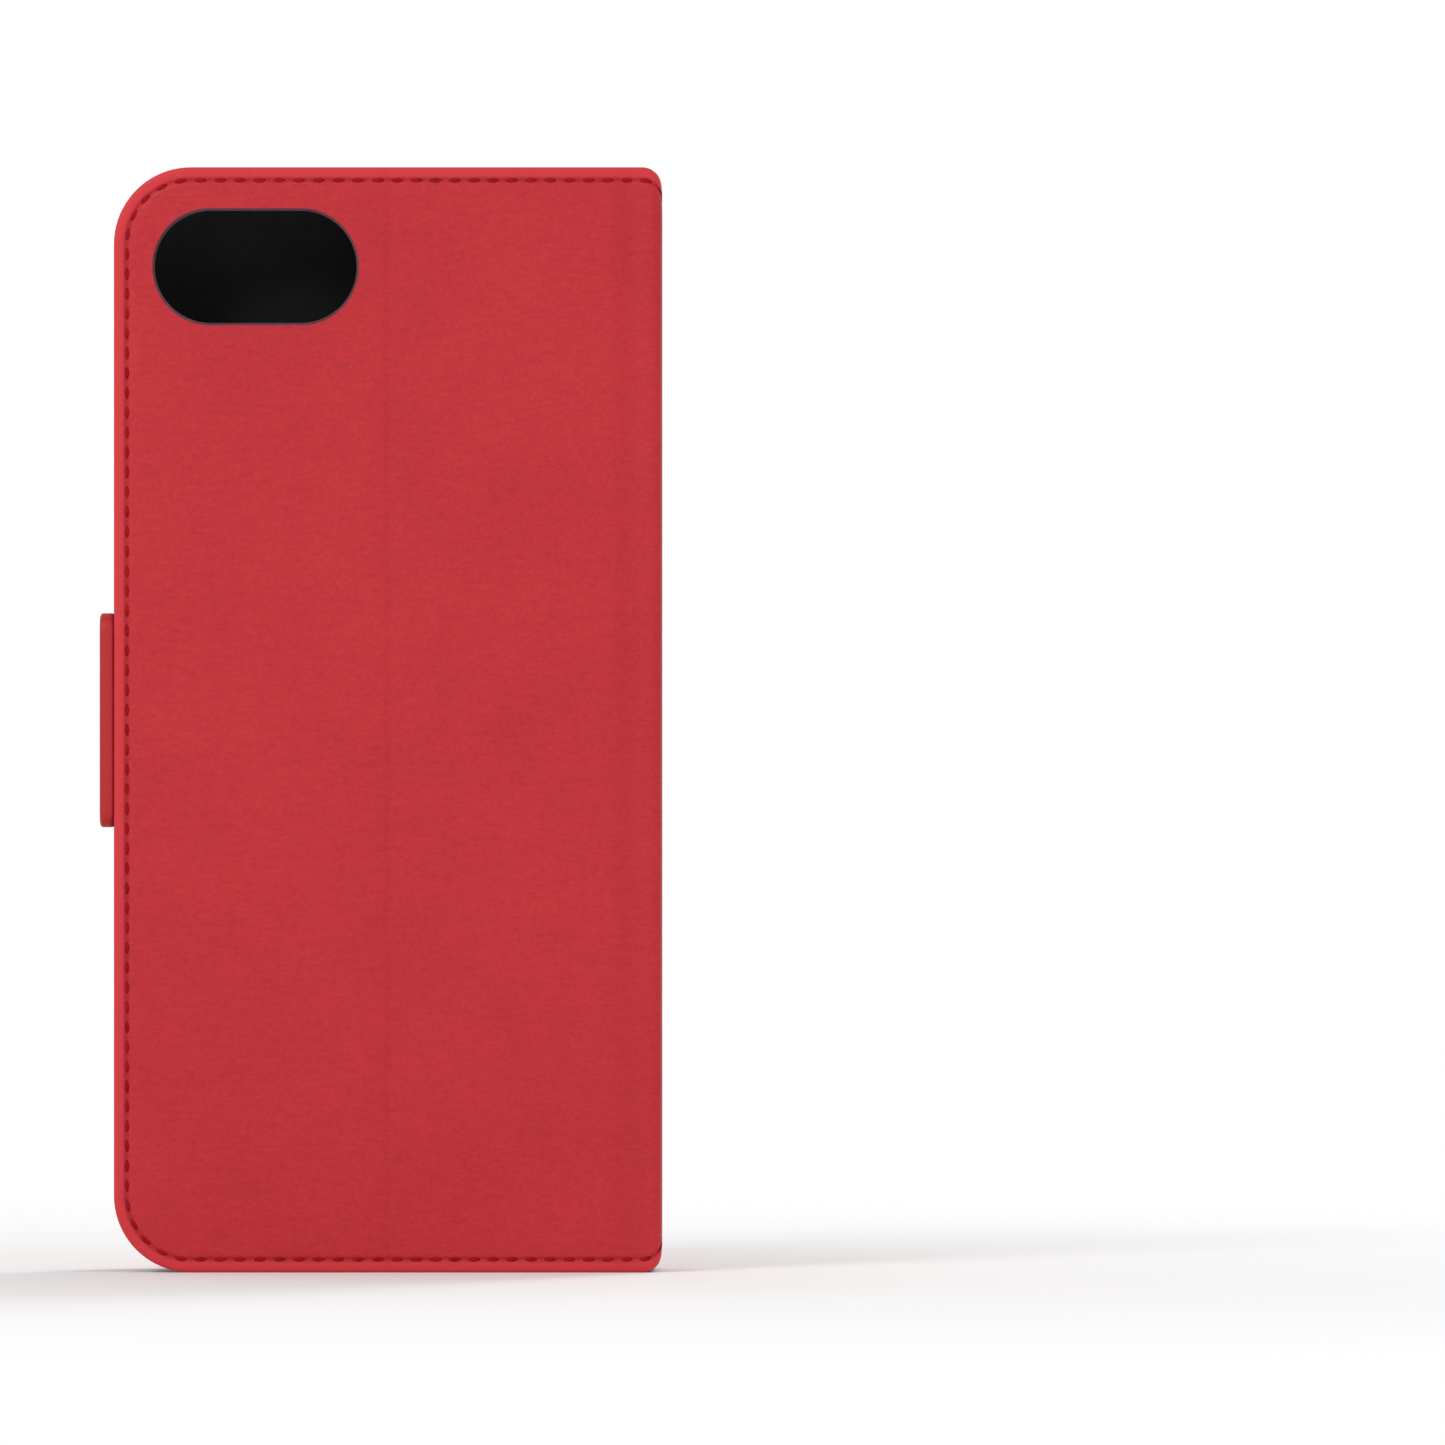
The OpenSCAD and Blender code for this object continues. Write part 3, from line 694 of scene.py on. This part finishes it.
def boardCutter(name, xLow, xHigh, yLow, yHigh, roundEnd):
    # the space for a board inside the leather, square at a fold and round-cornered at the free edge
    hem = leather["hem"] - 0.02 * mm
    spare = 40 * mm * roundEnd      # cut away again, so that only the free edge keeps its corners
    bm = roundedPlate(xHigh - xLow + spare, caseHigh - 2 * hem, leather["cornerRadius"] - hem, 12)
    cap = pullFace(bm, bm.faces[0])
    shift(bm, cap.verts, (0, -(yHigh - yLow), 0))
    middle = (xLow + xHigh - spare) / 2
    shift(bm, bm.verts, (middle, yHigh, caseHigh / 2))
    if roundEnd:
        sliceFlat(bm, (xLow, 0, 0), (1, 0, 0), clear_inner=True)
    return finishMesh(name, bm, boardCard)


def boxCutter(name, low, high):
    bm = bmesh.new()
    bmesh.ops.create_cube(bm, size=1)
    bmesh.ops.scale(bm, vec=[b - a for a, b in zip(low, high)], verts=bm.verts)
    shift(bm, bm.verts, [(a + b) / 2 for a, b in zip(low, high)])
    return finishMesh(name, bm, boardCard)


def liningCut(start, end, roundEnd, hole):
    # the flat size and area of one length of lining
    inset = leather["liningInset"]
    wide = min(end, sheetWide - inset) - max(start, inset)
    high = caseHigh - 2 * inset
    area = wide * high
    if roundEnd:
        area -= 2 * (1 - math.pi / 4) * (leather["cornerRadius"] - inset) ** 2
    if hole:
        across = hole["high"] + 2 * leather["cutClear"]
        area -= (hole["wide"] + 2 * leather["cutClear"]) * across - (1 - math.pi / 4) * across ** 2
    return (wide, high), area


boards = {n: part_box(n) for n in ("back_board_camera_side", "back_board_spine_side", "front_board")}


def boardSpaces(kind):
    # the cutters for the boards that lie inside one length of leather
    slack, through = 0.02 * mm, 0.3 * mm
    cutters = []
    if kind == "backCamera":
        low, high = boards["back_board_camera_side"]
        cutters.append(boardCutter("spaceA", low.x - slack, high.x + slack,
                                   low.y - through, high.y + slack, 1))
    if kind in ("backCamera", "backSpine"):
        low, high = boards["back_board_spine_side"]
        cutters.append(boxCutter("spaceB" + kind, low - Vector((slack, through, slack)),
                                 high + Vector((slack, slack, slack))))
    if kind == "front":
        low, high = boards["front_board"]
        cutters.append(boardCutter("spaceC", low.x - slack, high.x + slack,
                                   low.y - slack, high.y + through, 1))
        low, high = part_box("tab_anchor")
        cutters.append(boxCutter("spaceD", low - Vector((slack, slack, slack)),
                                 high + Vector((1 * mm, through, slack))))
    return cutters


cutDeep = 6 * mm                    # right through a cover
clear = leather["cutClear"]
for name, stretch in stretches.items():
    bm = sliceSheet(wholeSkin, stretch["from"], stretch["to"])
    foldSheet(bm, skinFace)
    skin = finishMesh(name + "Leather", bm, redLeather)
    skin.data.materials.append(cutEdge)
    cutters = boardSpaces(name)
    if name == "backCamera":
        cutters.append(pillCutter("windowCut", window, backY, -1, cutDeep, 0, window["lipRound"]))
    if name == "front":
        cutters.append(pillCutter("slotCut", earSlot, frontY, 1, cutDeep, 0, earSlot["lipRound"]))
    if cutters:
        cutAway(skin, cutters)
    bm = sliceSheet(wholeLining, stretch["from"], stretch["to"])
    foldSheet(bm, liningFace, True)
    lining = finishMesh(name + "Lining", bm, liningNap)
    if name == "backCamera":
        cutAway(lining, [pillCutter("windowCut2", window, backY, -1, cutDeep, clear, 0, liningNap)])
    if name == "front":
        cutAway(lining, [pillCutter("slotCut2", earSlot, frontY, 1, cutDeep, clear, 0, liningNap)])
    for piece, nodes in ((skin, stretch["skin"]), (lining, stretch["lining"])):
        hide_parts(*nodes)
        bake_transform(piece)
    hole = {"backCamera": window, "front": earSlot}.get(name)
    flat, area = liningCut(stretch["from"], stretch["to"], bool(hole), hole)
    print(name, "leather and lining", len(skin.data.polygons), len(lining.data.polygons))
wholeSkin.free()
wholeLining.free()

# one thread goes round the case's outline
thread = {
    "pitch": 2.62 * mm,
    "long": 1.82 * mm,
    "wide": 0.84 * mm,
    "thick": 0.42 * mm,
    "slant": 5.0,
    "sink": 0.19 * mm,              # depth of its middle under the outer face
    "dive": 0.16 * mm,              # how much deeper its ends go
}


def addStitch(bm, place, turn, long, wide, thick):
    # one visible length of thread with round ends: place is (along the sheet, depth, up)
    made = bmesh.ops.create_uvsphere(bm, u_segments=8, v_segments=6, radius=0.5)["verts"]
    turnAbout(bm, made, quarter, "Y")
    for vert in made:               # a capsule: the ends stay round
        side = 1 if vert.co.x > 0 else -1
        vert.co.x = side * (abs(vert.co.x) ** 1.6) * 1.5
    span = max(v.co.x for v in made) * 2
    bmesh.ops.scale(bm, vec=(long / span, thick, wide), verts=made)
    for vert in made:               # the ends dive into the holes
        vert.co.y += thread["dive"] * (abs(vert.co.x) / (long / 2)) ** 3
    turnAbout(bm, made, -turn, "Y")
    shift(bm, made, place)
    return made


def seamRoute():
    # every stitch on the case's outline: (along the sheet, up, direction)
    inset, r = leather["seamInset"], leather["cornerRadius"]
    arc = r - inset
    places = []

    def straight(a, b, z):
        n = round((b - a) / thread["pitch"])
        for i in range(n):
            places.append((a + (i + 0.5) * (b - a) / n, z, 0.0))
    for z in (inset, caseHigh - inset):
        straight(r, creaseAt, z)
        straight(creaseAt, backEnd, z)
        straight(backEnd, frontStart, z)
        straight(frontStart, sheetWide - r, z)
    n = round((caseHigh - 2 * r) / thread["pitch"])
    for i in range(n):
        z = r + (i + 0.5) * (caseHigh - 2 * r) / n
        places += [(inset, z, quarter), (sheetWide - inset, z, quarter)]
    n = round(arc * quarter / thread["pitch"])
    for i in range(n):
        a = (i + 0.5) / n * quarter
        across, up = arc * math.cos(a), arc * math.sin(a)
        for s, turnUp, turnDown in ((sheetWide - r + across, quarter + a, quarter - a),
                                    (r - across, quarter - a, quarter + a)):
            places += [(s, caseHigh - r + up, turnUp), (s, r - up, turnDown)]
    return places


seamPlaces = seamRoute()
slant = math.radians(thread["slant"])
for name, stretch in stretches.items():
    bm = bmesh.new()
    for s, z, turn in seamPlaces:
        if stretch["from"] <= s < stretch["to"]:
            place = (s, thread["sink"] + valleyDepth(s) * 0.8, z)
            addStitch(bm, place, turn + slant, thread["long"], thread["wide"], thread["thick"])
    for vert in bm.verts:
        vert.co = foldPoint(vert.co.x, vert.co.y, vert.co.z)
    stitches = finishMesh(name + "Stitches", bm, redThread, 60, False)
    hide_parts(*stretch["stitches"])
    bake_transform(stitches)
print("outline stitched", len(seamPlaces))

# the tray that the phone snaps into
tray = {
    "wall": 1.2 * mm, "floor": 1.2 * mm, "lip": 0.7 * mm, "reach": 0.6 * mm,
    "corner": 11.05 * mm, "edgeRound": 0.35 * mm,
    "cutHigh": 5.0 * mm, "cutDeep": 5.0 * mm,
    "volume": (44 * mm, 42 * mm), "sideKey": (37 * mm, 17 * mm), "socket": 47 * mm,
    "phoneThick": 7.3 * mm,
}
trayMiddle = (trayLow + trayHigh) / 2
traySize = trayHigh - trayLow
trayBody = roundedBlock("phoneTray", traySize.x, traySize.z, traySize.y, tray["corner"], tray["edgeRound"],
                        trayMiddle, trayPlastic, 4)
wall, lipReach = tray["wall"], tray["reach"]
roomWide, roomHigh = traySize.x - 2 * wall, traySize.z - 2 * wall
roomDeep = traySize.y - tray["floor"] - tray["lip"]
roomMiddle = Vector((trayMiddle.x, trayLow.y + tray["lip"] + roomDeep / 2, trayMiddle.z))
phoneMiddleY = trayHigh.y - tray["floor"] - tray["phoneThick"] / 2
phoneTop = trayHigh.z - tray["wall"] - 0.25 * mm


def edgePill(name, place, long, along):
    # a round-ended cutter through a side wall, with its long side up the wall or along the bottom
    bm = pillPlate(long, tray["cutHigh"], 10)
    cap = pullFace(bm, bm.faces[0])
    shift(bm, cap.verts, (0, -tray["cutDeep"], 0))
    shift(bm, bm.verts, (0, tray["cutDeep"] / 2, 0))
    turnAbout(bm, bm.verts, quarter, "X")
    if along == "Z":
        turnAbout(bm, bm.verts, quarter, "Y")
    shift(bm, bm.verts, place)
    return finishMesh(name, bm, trayPlastic)


plateLow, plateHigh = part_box("tab_keeper_plate")
lipMiddle = Vector((trayMiddle.x, trayLow.y, trayMiddle.z))
cutAway(trayBody, [
    roundedBlock("cavityCut", roomWide, roomHigh, roomDeep, tray["corner"] - wall, 0.3 * mm, roomMiddle),
    roundedBlock("lipCut", roomWide - 2 * lipReach, roomHigh - 2 * lipReach, 4 * mm,
                 tray["corner"] - wall - lipReach, 0.05 * mm, lipMiddle),
    pillCutter("windowCut3", window, backY, -1, 2 * cutDeep, leather["cutClear"], 0, trayPlastic),
    edgePill("volumeCut", (trayLow.x, phoneMiddleY, phoneTop - tray["volume"][0]), tray["volume"][1], "Z"),
    edgePill("keyCut", (trayHigh.x, phoneMiddleY, phoneTop - tray["sideKey"][0]), tray["sideKey"][1], "Z"),
    edgePill("socketCut", (trayMiddle.x, phoneMiddleY, trayLow.z), tray["socket"], "X"),
    boxCutter("plateCut", plateLow - Vector((0.01, 0.01, 0.01)) * mm,
              plateHigh + Vector((0.5, 0.01, 0.01)) * mm),
])
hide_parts("phone_tray")
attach(trayBody, "holder")
print("tray made", len(trayBody.data.polygons))

# card and cash pockets inside the front cover
pocket = {
    "gap": 0.2 * mm, "seam": 2.2 * mm,
    "hem": 2.4 * mm, "notch": {"cash_pocket": 9 * mm, "card": 6 * mm},
    "cornerRadius": 7.2 * mm, "cardHigh": 85.6 * mm, "cardShows": 6 * mm,
    "edgeRound": 0.14 * mm,
    "hemLine": ((-0.35 * mm, 0), (0, 0.1 * mm), (0.35 * mm, 0)),    # (up, depth)
    "stitch": (1.9 * mm, 0.46 * mm, 0.3 * mm), "pitch": 2.6 * mm,
    "seamStart": 1.6 * mm, "seamEnd": 2 * mm, "mouthClear": 1.3 * mm,
}


def makePocket(node, name):
    low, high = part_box(node)
    wide, tall = high.x - low.x, high.z - low.z
    thick = high.y - low.y
    # a plate twice as wide, cut in half, so that only its free-edge corners are round
    bm = roundedPlate(2 * wide, 2 * tall, pocket["cornerRadius"], 12)
    cap = pullFace(bm, bm.faces[0])
    shift(bm, cap.verts, (0, -thick, 0))
    shift(bm, bm.verts, (high.x - wide, high.y, low.z + tall))
    for place, normal in (((low.x, 0, 0), (-1, 0, 0)), ((0, 0, high.z), (0, 0, 1))):
        sliceFlat(bm, place, normal, clear_outer=True)
    bmesh.ops.remove_doubles(bm, verts=bm.verts, dist=1e-7)
    bmesh.ops.recalc_face_normals(bm, faces=bm.faces)
    # the face that shows, towards the tray, gets a rounded edge
    shown = [f for f in bm.faces if f.normal.y > 0.9]
    edges = [e for e in bm.edges if len(set(e.link_faces) & set(shown)) == 1]
    bmesh.ops.bevel(bm, geom=edges, offset=pocket["edgeRound"], segments=3, profile=0.5,
                    affect="EDGES", material=-1)
    # a shallow pressed line under the mouth, where the hem ends
    for step, sink in pocket["hemLine"]:
        cut = sliceFlat(bm, (0, 0, high.z - pocket["hem"] + step), (0, 0, 1))
        if sink:
            for vert in {part for part in cut if isinstance(part, bmesh.types.BMVert)}:
                if vert.co.y > high.y - 0.05 * mm:
                    vert.co.y -= sink
    piece = finishMesh(name, bm, pocketLeather)
    seam = pocket["seam"]
    foot = low.z + seam
    if node != "cash_pocket":       # a card slot is only as deep as its card
        foot = max(foot, high.z - pocket["cardHigh"] + pocket["cardShows"])
    notch = pocket["notch"]["cash_pocket" if node == "cash_pocket" else "card"]
    space = boxCutter("pocketSpace", (low.x + seam, low.y - 1 * mm, foot),
                      (high.x - seam, low.y + pocket["gap"], high.z + 1 * mm))
    thumb = bmesh.new()
    bmesh.ops.create_cone(thumb, cap_ends=True, segments=48, radius1=notch, radius2=notch, depth=4 * mm)
    turnAbout(thumb, thumb.verts, quarter, "X")
    shift(thumb, thumb.verts, ((low.x + high.x) / 2, low.y, high.z))
    cutAway(piece, [space, finishMesh("thumbCut", thumb, pocketLeather)])
    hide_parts(node)
    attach(piece, "front_cover")


pocketPieces = {
    "cash_pocket": "cashPocket",
    "card_pocket_top": "cardPocketTop",
    "card_pocket_middle": "cardPocketMiddle",
    "card_pocket_bottom": "cardPocketBottom",
}
for node, name in pocketPieces.items():
    makePocket(node, name)

mouths = sorted((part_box(node)[1].z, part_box(node)[1].y) for node in pocketPieces)
cashLow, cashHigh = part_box("cash_pocket")
bm = bmesh.new()
z = leather["cornerRadius"] + pocket["seamStart"]
while z < cashHigh.z - pocket["seamEnd"]:
    level = min(((top, y) for top, y in mouths if top > z), default=mouths[-1])
    free = all(abs(top - z) > pocket["mouthClear"] for top, y in mouths)
    for x in (cashLow.x + pocket["seam"] / 2, cashHigh.x - pocket["seam"] / 2):
        if free:
            made = addStitch(bm, (0, 0, 0), math.radians(4), *pocket["stitch"])
            turnAbout(bm, made, math.pi, "Z")
            turnAbout(bm, made, quarter, "Y")
            shift(bm, made, (x, level[1] + 0.02 * mm, z))
    z += pocket["pitch"]
pocketStitches = finishMesh("pocketStitches", bm, blackThread, 60, False)
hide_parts("pocket_stitches")
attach(pocketStitches, "front_cover")
print("pockets made")

# the magnetic tab at the free edge
tab = {
    "corner": 2.5 * mm, "seamInset": 1.1 * mm, "seamStart": 0.8 * mm,
    "pitch": 2.5 * mm,
    "stitch": (1.8 * mm, 0.5 * mm, 0.28 * mm), "sink": 0.12 * mm,
    "underStitch": (1.8 * mm, 0.46 * mm, 0.24 * mm), "underSink": 0.065 * mm,
    "rimTint": 0.8, "rimWide": 0.8 * mm, "seamShade": 0.5, "seamWide": 0.25 * mm,
    "swell": 0.13 * mm,             # how far the under side fills out past the root
    "rootEnd": 2.2 * mm,
    "swellRun": 1.6 * mm,
    "rootBend": 0.12 * mm,          # where the root starts to bend, in from the case's free edge
    "rootCuts": 16,
    "rootCutPitch": 0.022 * mm,
}
tabInner, tabOuter = tabLiningLow.x, tabHigh.x
tabSkinInner = tabLow.x
tabMid = (tabLow + tabHigh) / 2
tabLong, tabTall = tabHigh.y - tabLow.y, tabHigh.z - tabLow.z


def fullness(y):
    # 0 by the tab's root and 1 past it, where the under side fills out
    return smoothStep((y - tabLow.y - tab["rootEnd"]) / tab["swellRun"])


def tabPlate(name, xLow, xHigh, outerSteps, innerSteps, material, swell=0.0):
    # a plate in Y and Z: round corners at the free end only, rings of steps on both faces
    steps = sum(s[1] for s in outerSteps) + sum(s[1] for s in innerSteps)
    bm = roundedPlate(2 * tabLong, tabTall, tab["corner"], 10)
    outer = pullFace(bm, bm.faces[0])
    shift(bm, outer.verts, (0, -(xHigh - xLow - steps), 0))
    inner = faceBothOut(bm, outer)
    growCap(bm, outer, outerSteps)
    growCap(bm, inner, innerSteps)
    low = min(v.co.y for v in bm.verts)
    shift(bm, bm.verts, (0, -low, 0))           # outer face at y = 0
    # the outer face turns to +X
    turnAbout(bm, bm.verts, quarter, "Z")
    shift(bm, bm.verts, (xHigh, tabHigh.y - tabLong, tabMid.z))
    sliceFlat(bm, (0, tabLow.y + 0.05 * mm, 0), (0, 1, 0), clear_inner=True)
    if swell:                       # past its root the tab fills out until it all but touches the case
        cuts = 5
        for i in range(cuts + 1):
            sliceFlat(bm, (0, tabLow.y + tab["rootEnd"] + tab["swellRun"] * i / cuts, 0), (0, 1, 0))
        for vert in bm.verts:
            inward = smoothStep(1 - (vert.co.x - xLow) / (0.3 * mm))
            vert.co.x -= swell * inward * fullness(vert.co.y)
    # painted highlight along the tab's edge and painted shade along its seam
    rimTint = bm.verts.layers.float.new("rimTint")
    hollowShade = bm.verts.layers.float.new("hollowShade")
    for vert in bm.verts:
        fromEdge = min(tabHigh.y - vert.co.y, tabHigh.z - vert.co.z, vert.co.z - tabLow.z)
        vert[rimTint] = tab["rimTint"] * smoothStep((tab["rimWide"] - fromEdge) / rimStrip["fade"])
        vert[hollowShade] = tab["seamShade"] * bell(fromEdge - tab["seamInset"], tab["seamWide"])
    return finishMesh(name, bm, material)


tabRim = inMm([(0.05, 0.12), (0.10, 0.10), (0.16, 0.08), (0.24, 0.05), (0.30, 0.0), (0.14, -0.10),
               (0.12, -0.06), (0.12, 0.06), (0.14, 0.10), (0.3, 0.0)])
tabUnderRim = inMm([(0.05, 0.12), (0.12, 0.08), (0.2, 0.04), (0.4, 0.0)])
flatRim = inMm([(0.02, 0.0)])       # where the two leathers are glued
tabSkin = tabPlate("shadedTabLeather", tabSkinInner, tabOuter, tabRim, flatRim, shadedTabLeather)
coreLow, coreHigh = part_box("closure_tab_filler")
slack = Vector((0.01, 0.01, 0.01)) * mm
cutAway(tabSkin, [boxCutter("coreSpace", coreLow - slack - Vector((0.3 * mm, 0, 0)), coreHigh + slack)])
tabUnder = tabPlate("tabUnderLeather", tabInner, tabSkinInner, flatRim, tabUnderRim, shadedTabLeather,
                    tab["swell"])
for piece, node in ((tabSkin, "closure_tab_skin"), (tabUnder, "closure_tab_lining")):
    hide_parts(node)
    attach(piece, "closure_tab")

bm = bmesh.new()
seamEnd = tabHigh.y - tab["seamInset"]
arc = tab["corner"] - tab["seamInset"]
route = []
runY = tabHigh.y - tab["corner"] - tabLow.y - tab["seamStart"]
n = round(runY / tab["pitch"])
for i in range(n):
    y = tabLow.y + tab["seamStart"] + (i + 0.5) * runY / n
    route += [(y, tabLow.z + tab["seamInset"], 0), (y, tabHigh.z - tab["seamInset"], 0)]
runZ = tabTall - 2 * tab["corner"]
n = round(runZ / tab["pitch"])
for i in range(n):
    route.append((seamEnd, tabLow.z + tab["corner"] + (i + 0.5) * runZ / n, quarter))
for y, z, turn in route:            # one on the outer face and one under it
    made = addStitch(bm, (0, 0, 0), turn + math.radians(4), *tab["stitch"])
    turnAbout(bm, made, quarter, "Z")
    shift(bm, made, (tabOuter - tab["sink"], y, z))
    filled = tab["swell"] * fullness(y)
    made = addStitch(bm, (0, 0, 0), turn - math.radians(4), *tab["underStitch"])
    turnAbout(bm, made, -quarter, "Z")
    shift(bm, made, (tabInner - filled + tab["underSink"], y, z))
tabStitches = finishMesh("tabStitches", bm, redThread, 60, False)
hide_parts("closure_tab_stitches")
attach(tabStitches, "closure_tab")

# the tab's root: a leather strip out of the front cover's edge, cut across closely near the case's free edge
anchorLow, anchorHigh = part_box("tab_anchor")
bm = bmesh.new()
bmesh.ops.create_cube(bm, size=1)
rootHigh = tabInner + 0.02 * mm
rootSize = (rootHigh - anchorLow.x, anchorHigh.y - anchorLow.y, tabTall - 1 * mm)
rootMiddle = ((rootHigh + anchorLow.x) / 2, (anchorLow.y + anchorHigh.y) / 2, tabMid.z)
bmesh.ops.scale(bm, vec=rootSize, verts=bm.verts)
shift(bm, bm.verts, rootMiddle)
bendStart = freeX - tab["rootBend"]
for i in range(tab["rootCuts"]):
    sliceFlat(bm, (bendStart + i * tab["rootCutPitch"], 0, 0), (1, 0, 0))
tabRoot = finishMesh("tabRoot", bm, shadedTabLeather)
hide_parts("tab_anchor")
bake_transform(tabRoot)
print("tab made")

# pieces kept as they are, with their own finish
kept = {
    "tab_keeper_plate": plateSteel,
    "tray_adhesive_sheet": adhesiveFilm,
    "back_board_camera_side": boardCard,
    "back_board_spine_side": boardCard,
    "front_board": boardCard,
    "closure_tab_filler": boardCard,
    "closure_tab_magnets": magnetNickel,
}
for node, material in kept.items():
    obj = frame["nodes"][node]
    obj.data.materials.clear()
    obj.data.materials.append(material)

# floor, light and camera
studio = {
    "floorRadius": 1.6,
    "fadeEnd": 0.32,                # past this the floor looks plain white
    "lens": 400,
    "frameHigh": 0.1915,            # height that the frame takes in, in metres
    "aside": 0.0453,                # the case stands to the left of the middle of the frame
    "up": 0.0729,
    "worldStrength": 0.74,
    "lampPower": 2.6, "lampSize": 0.30,
    "lampPlace": Vector((0.42, 0.62, 0.62)), "lampAim": Vector((0, 0, 0.07)),
    "sensor": 36,
}

bm = bmesh.new()
bmesh.ops.create_circle(bm, cap_ends=True, segments=96, radius=studio["floorRadius"])
mesh = bpy.data.meshes.new("floor")
bm.to_mesh(mesh)
bm.free()
floor = bpy.data.objects.new("floor", mesh)
bpy.context.scene.collection.objects.link(floor)
floorPaper, nodes, links, shader, coords = newMaterial("floorPaper", (0.86, 0.86, 0.86), 0.9, 0.1)
grain = addNoise(nodes, links, coords, 900, 3)
links.new(addBump(nodes, links, grain, 0.00004, 0.4), shader.inputs["Normal"])
ray = nodes.new("ShaderNodeLightPath")
seen = addMath(nodes, links, "MAXIMUM", ray.outputs["Is Camera Ray"], ray.outputs["Is Glossy Ray"])
seen = addMath(nodes, links, "MAXIMUM", seen, ray.outputs["Is Transmission Ray"])
away = nodes.new("ShaderNodeVectorMath")
away.operation = "LENGTH"
links.new(coords, away.inputs[0])
distance = addMath(nodes, links, "MULTIPLY", away.outputs["Value"], 1 / studio["fadeEnd"])
near = addGreys(nodes, links, distance, 0.0, 1.0, 0.25, 1.0)        # white for the camera past the shadow
white = nodes.new("ShaderNodeEmission")
white.inputs["Color"].default_value = (1, 1, 1, 1)
mixer = nodes.new("ShaderNodeMixShader")
links.new(addMath(nodes, links, "MULTIPLY", seen, near), mixer.inputs["Fac"])
links.new(shader.outputs[0], mixer.inputs[1])
links.new(white.outputs[0], mixer.inputs[2])
links.new(mixer.outputs[0], nodes["Material Output"].inputs["Surface"])
mesh.materials.append(floorPaper)

world = bpy.data.worlds.new("studioWorld")
bpy.context.scene.world = world
world.use_nodes = True
nodes, links = world.node_tree.nodes, world.node_tree.links
background = nodes["Background"]
background.inputs["Color"].default_value = (1, 1, 1, 1)
ray = nodes.new("ShaderNodeLightPath")
seen = addMath(nodes, links, "MAXIMUM", ray.outputs["Is Camera Ray"], ray.outputs["Is Transmission Ray"])
lift = addMath(nodes, links, "MULTIPLY", seen, 1.02 - studio["worldStrength"])
links.new(addMath(nodes, links, "ADD", lift, studio["worldStrength"]), background.inputs["Strength"])


def addLamp(name, place):
    data = bpy.data.lights.new(name, "AREA")
    data.shape = "DISK"
    data.size = studio["lampSize"]
    data.energy = studio["lampPower"]
    lamp = bpy.data.objects.new(name, data)
    bpy.context.scene.collection.objects.link(lamp)
    lamp.location = place
    lamp.rotation_euler = (studio["lampAim"] - place).to_track_quat("-Z", "Y").to_euler()


addLamp("backLamp", studio["lampPlace"])
addLamp("frontLamp", studio["lampPlace"] * Vector((-1, -1, 1)))

cameraData = bpy.data.cameras.new("camera")
cameraData.lens = studio["lens"]
cameraData.sensor_width = studio["sensor"]
cameraData.clip_end = 50
camera = bpy.data.objects.new("camera", cameraData)
bpy.context.scene.collection.objects.link(camera)
cameraAway = studio["frameHigh"] * studio["lens"] / studio["sensor"]
camera.location = (-studio["aside"], backY + cameraAway, studio["up"])
camera.rotation_euler = (quarter, 0, math.pi)
bpy.context.scene.camera = camera
bpy.context.scene.view_settings.view_transform = "Standard"
print("camera set")
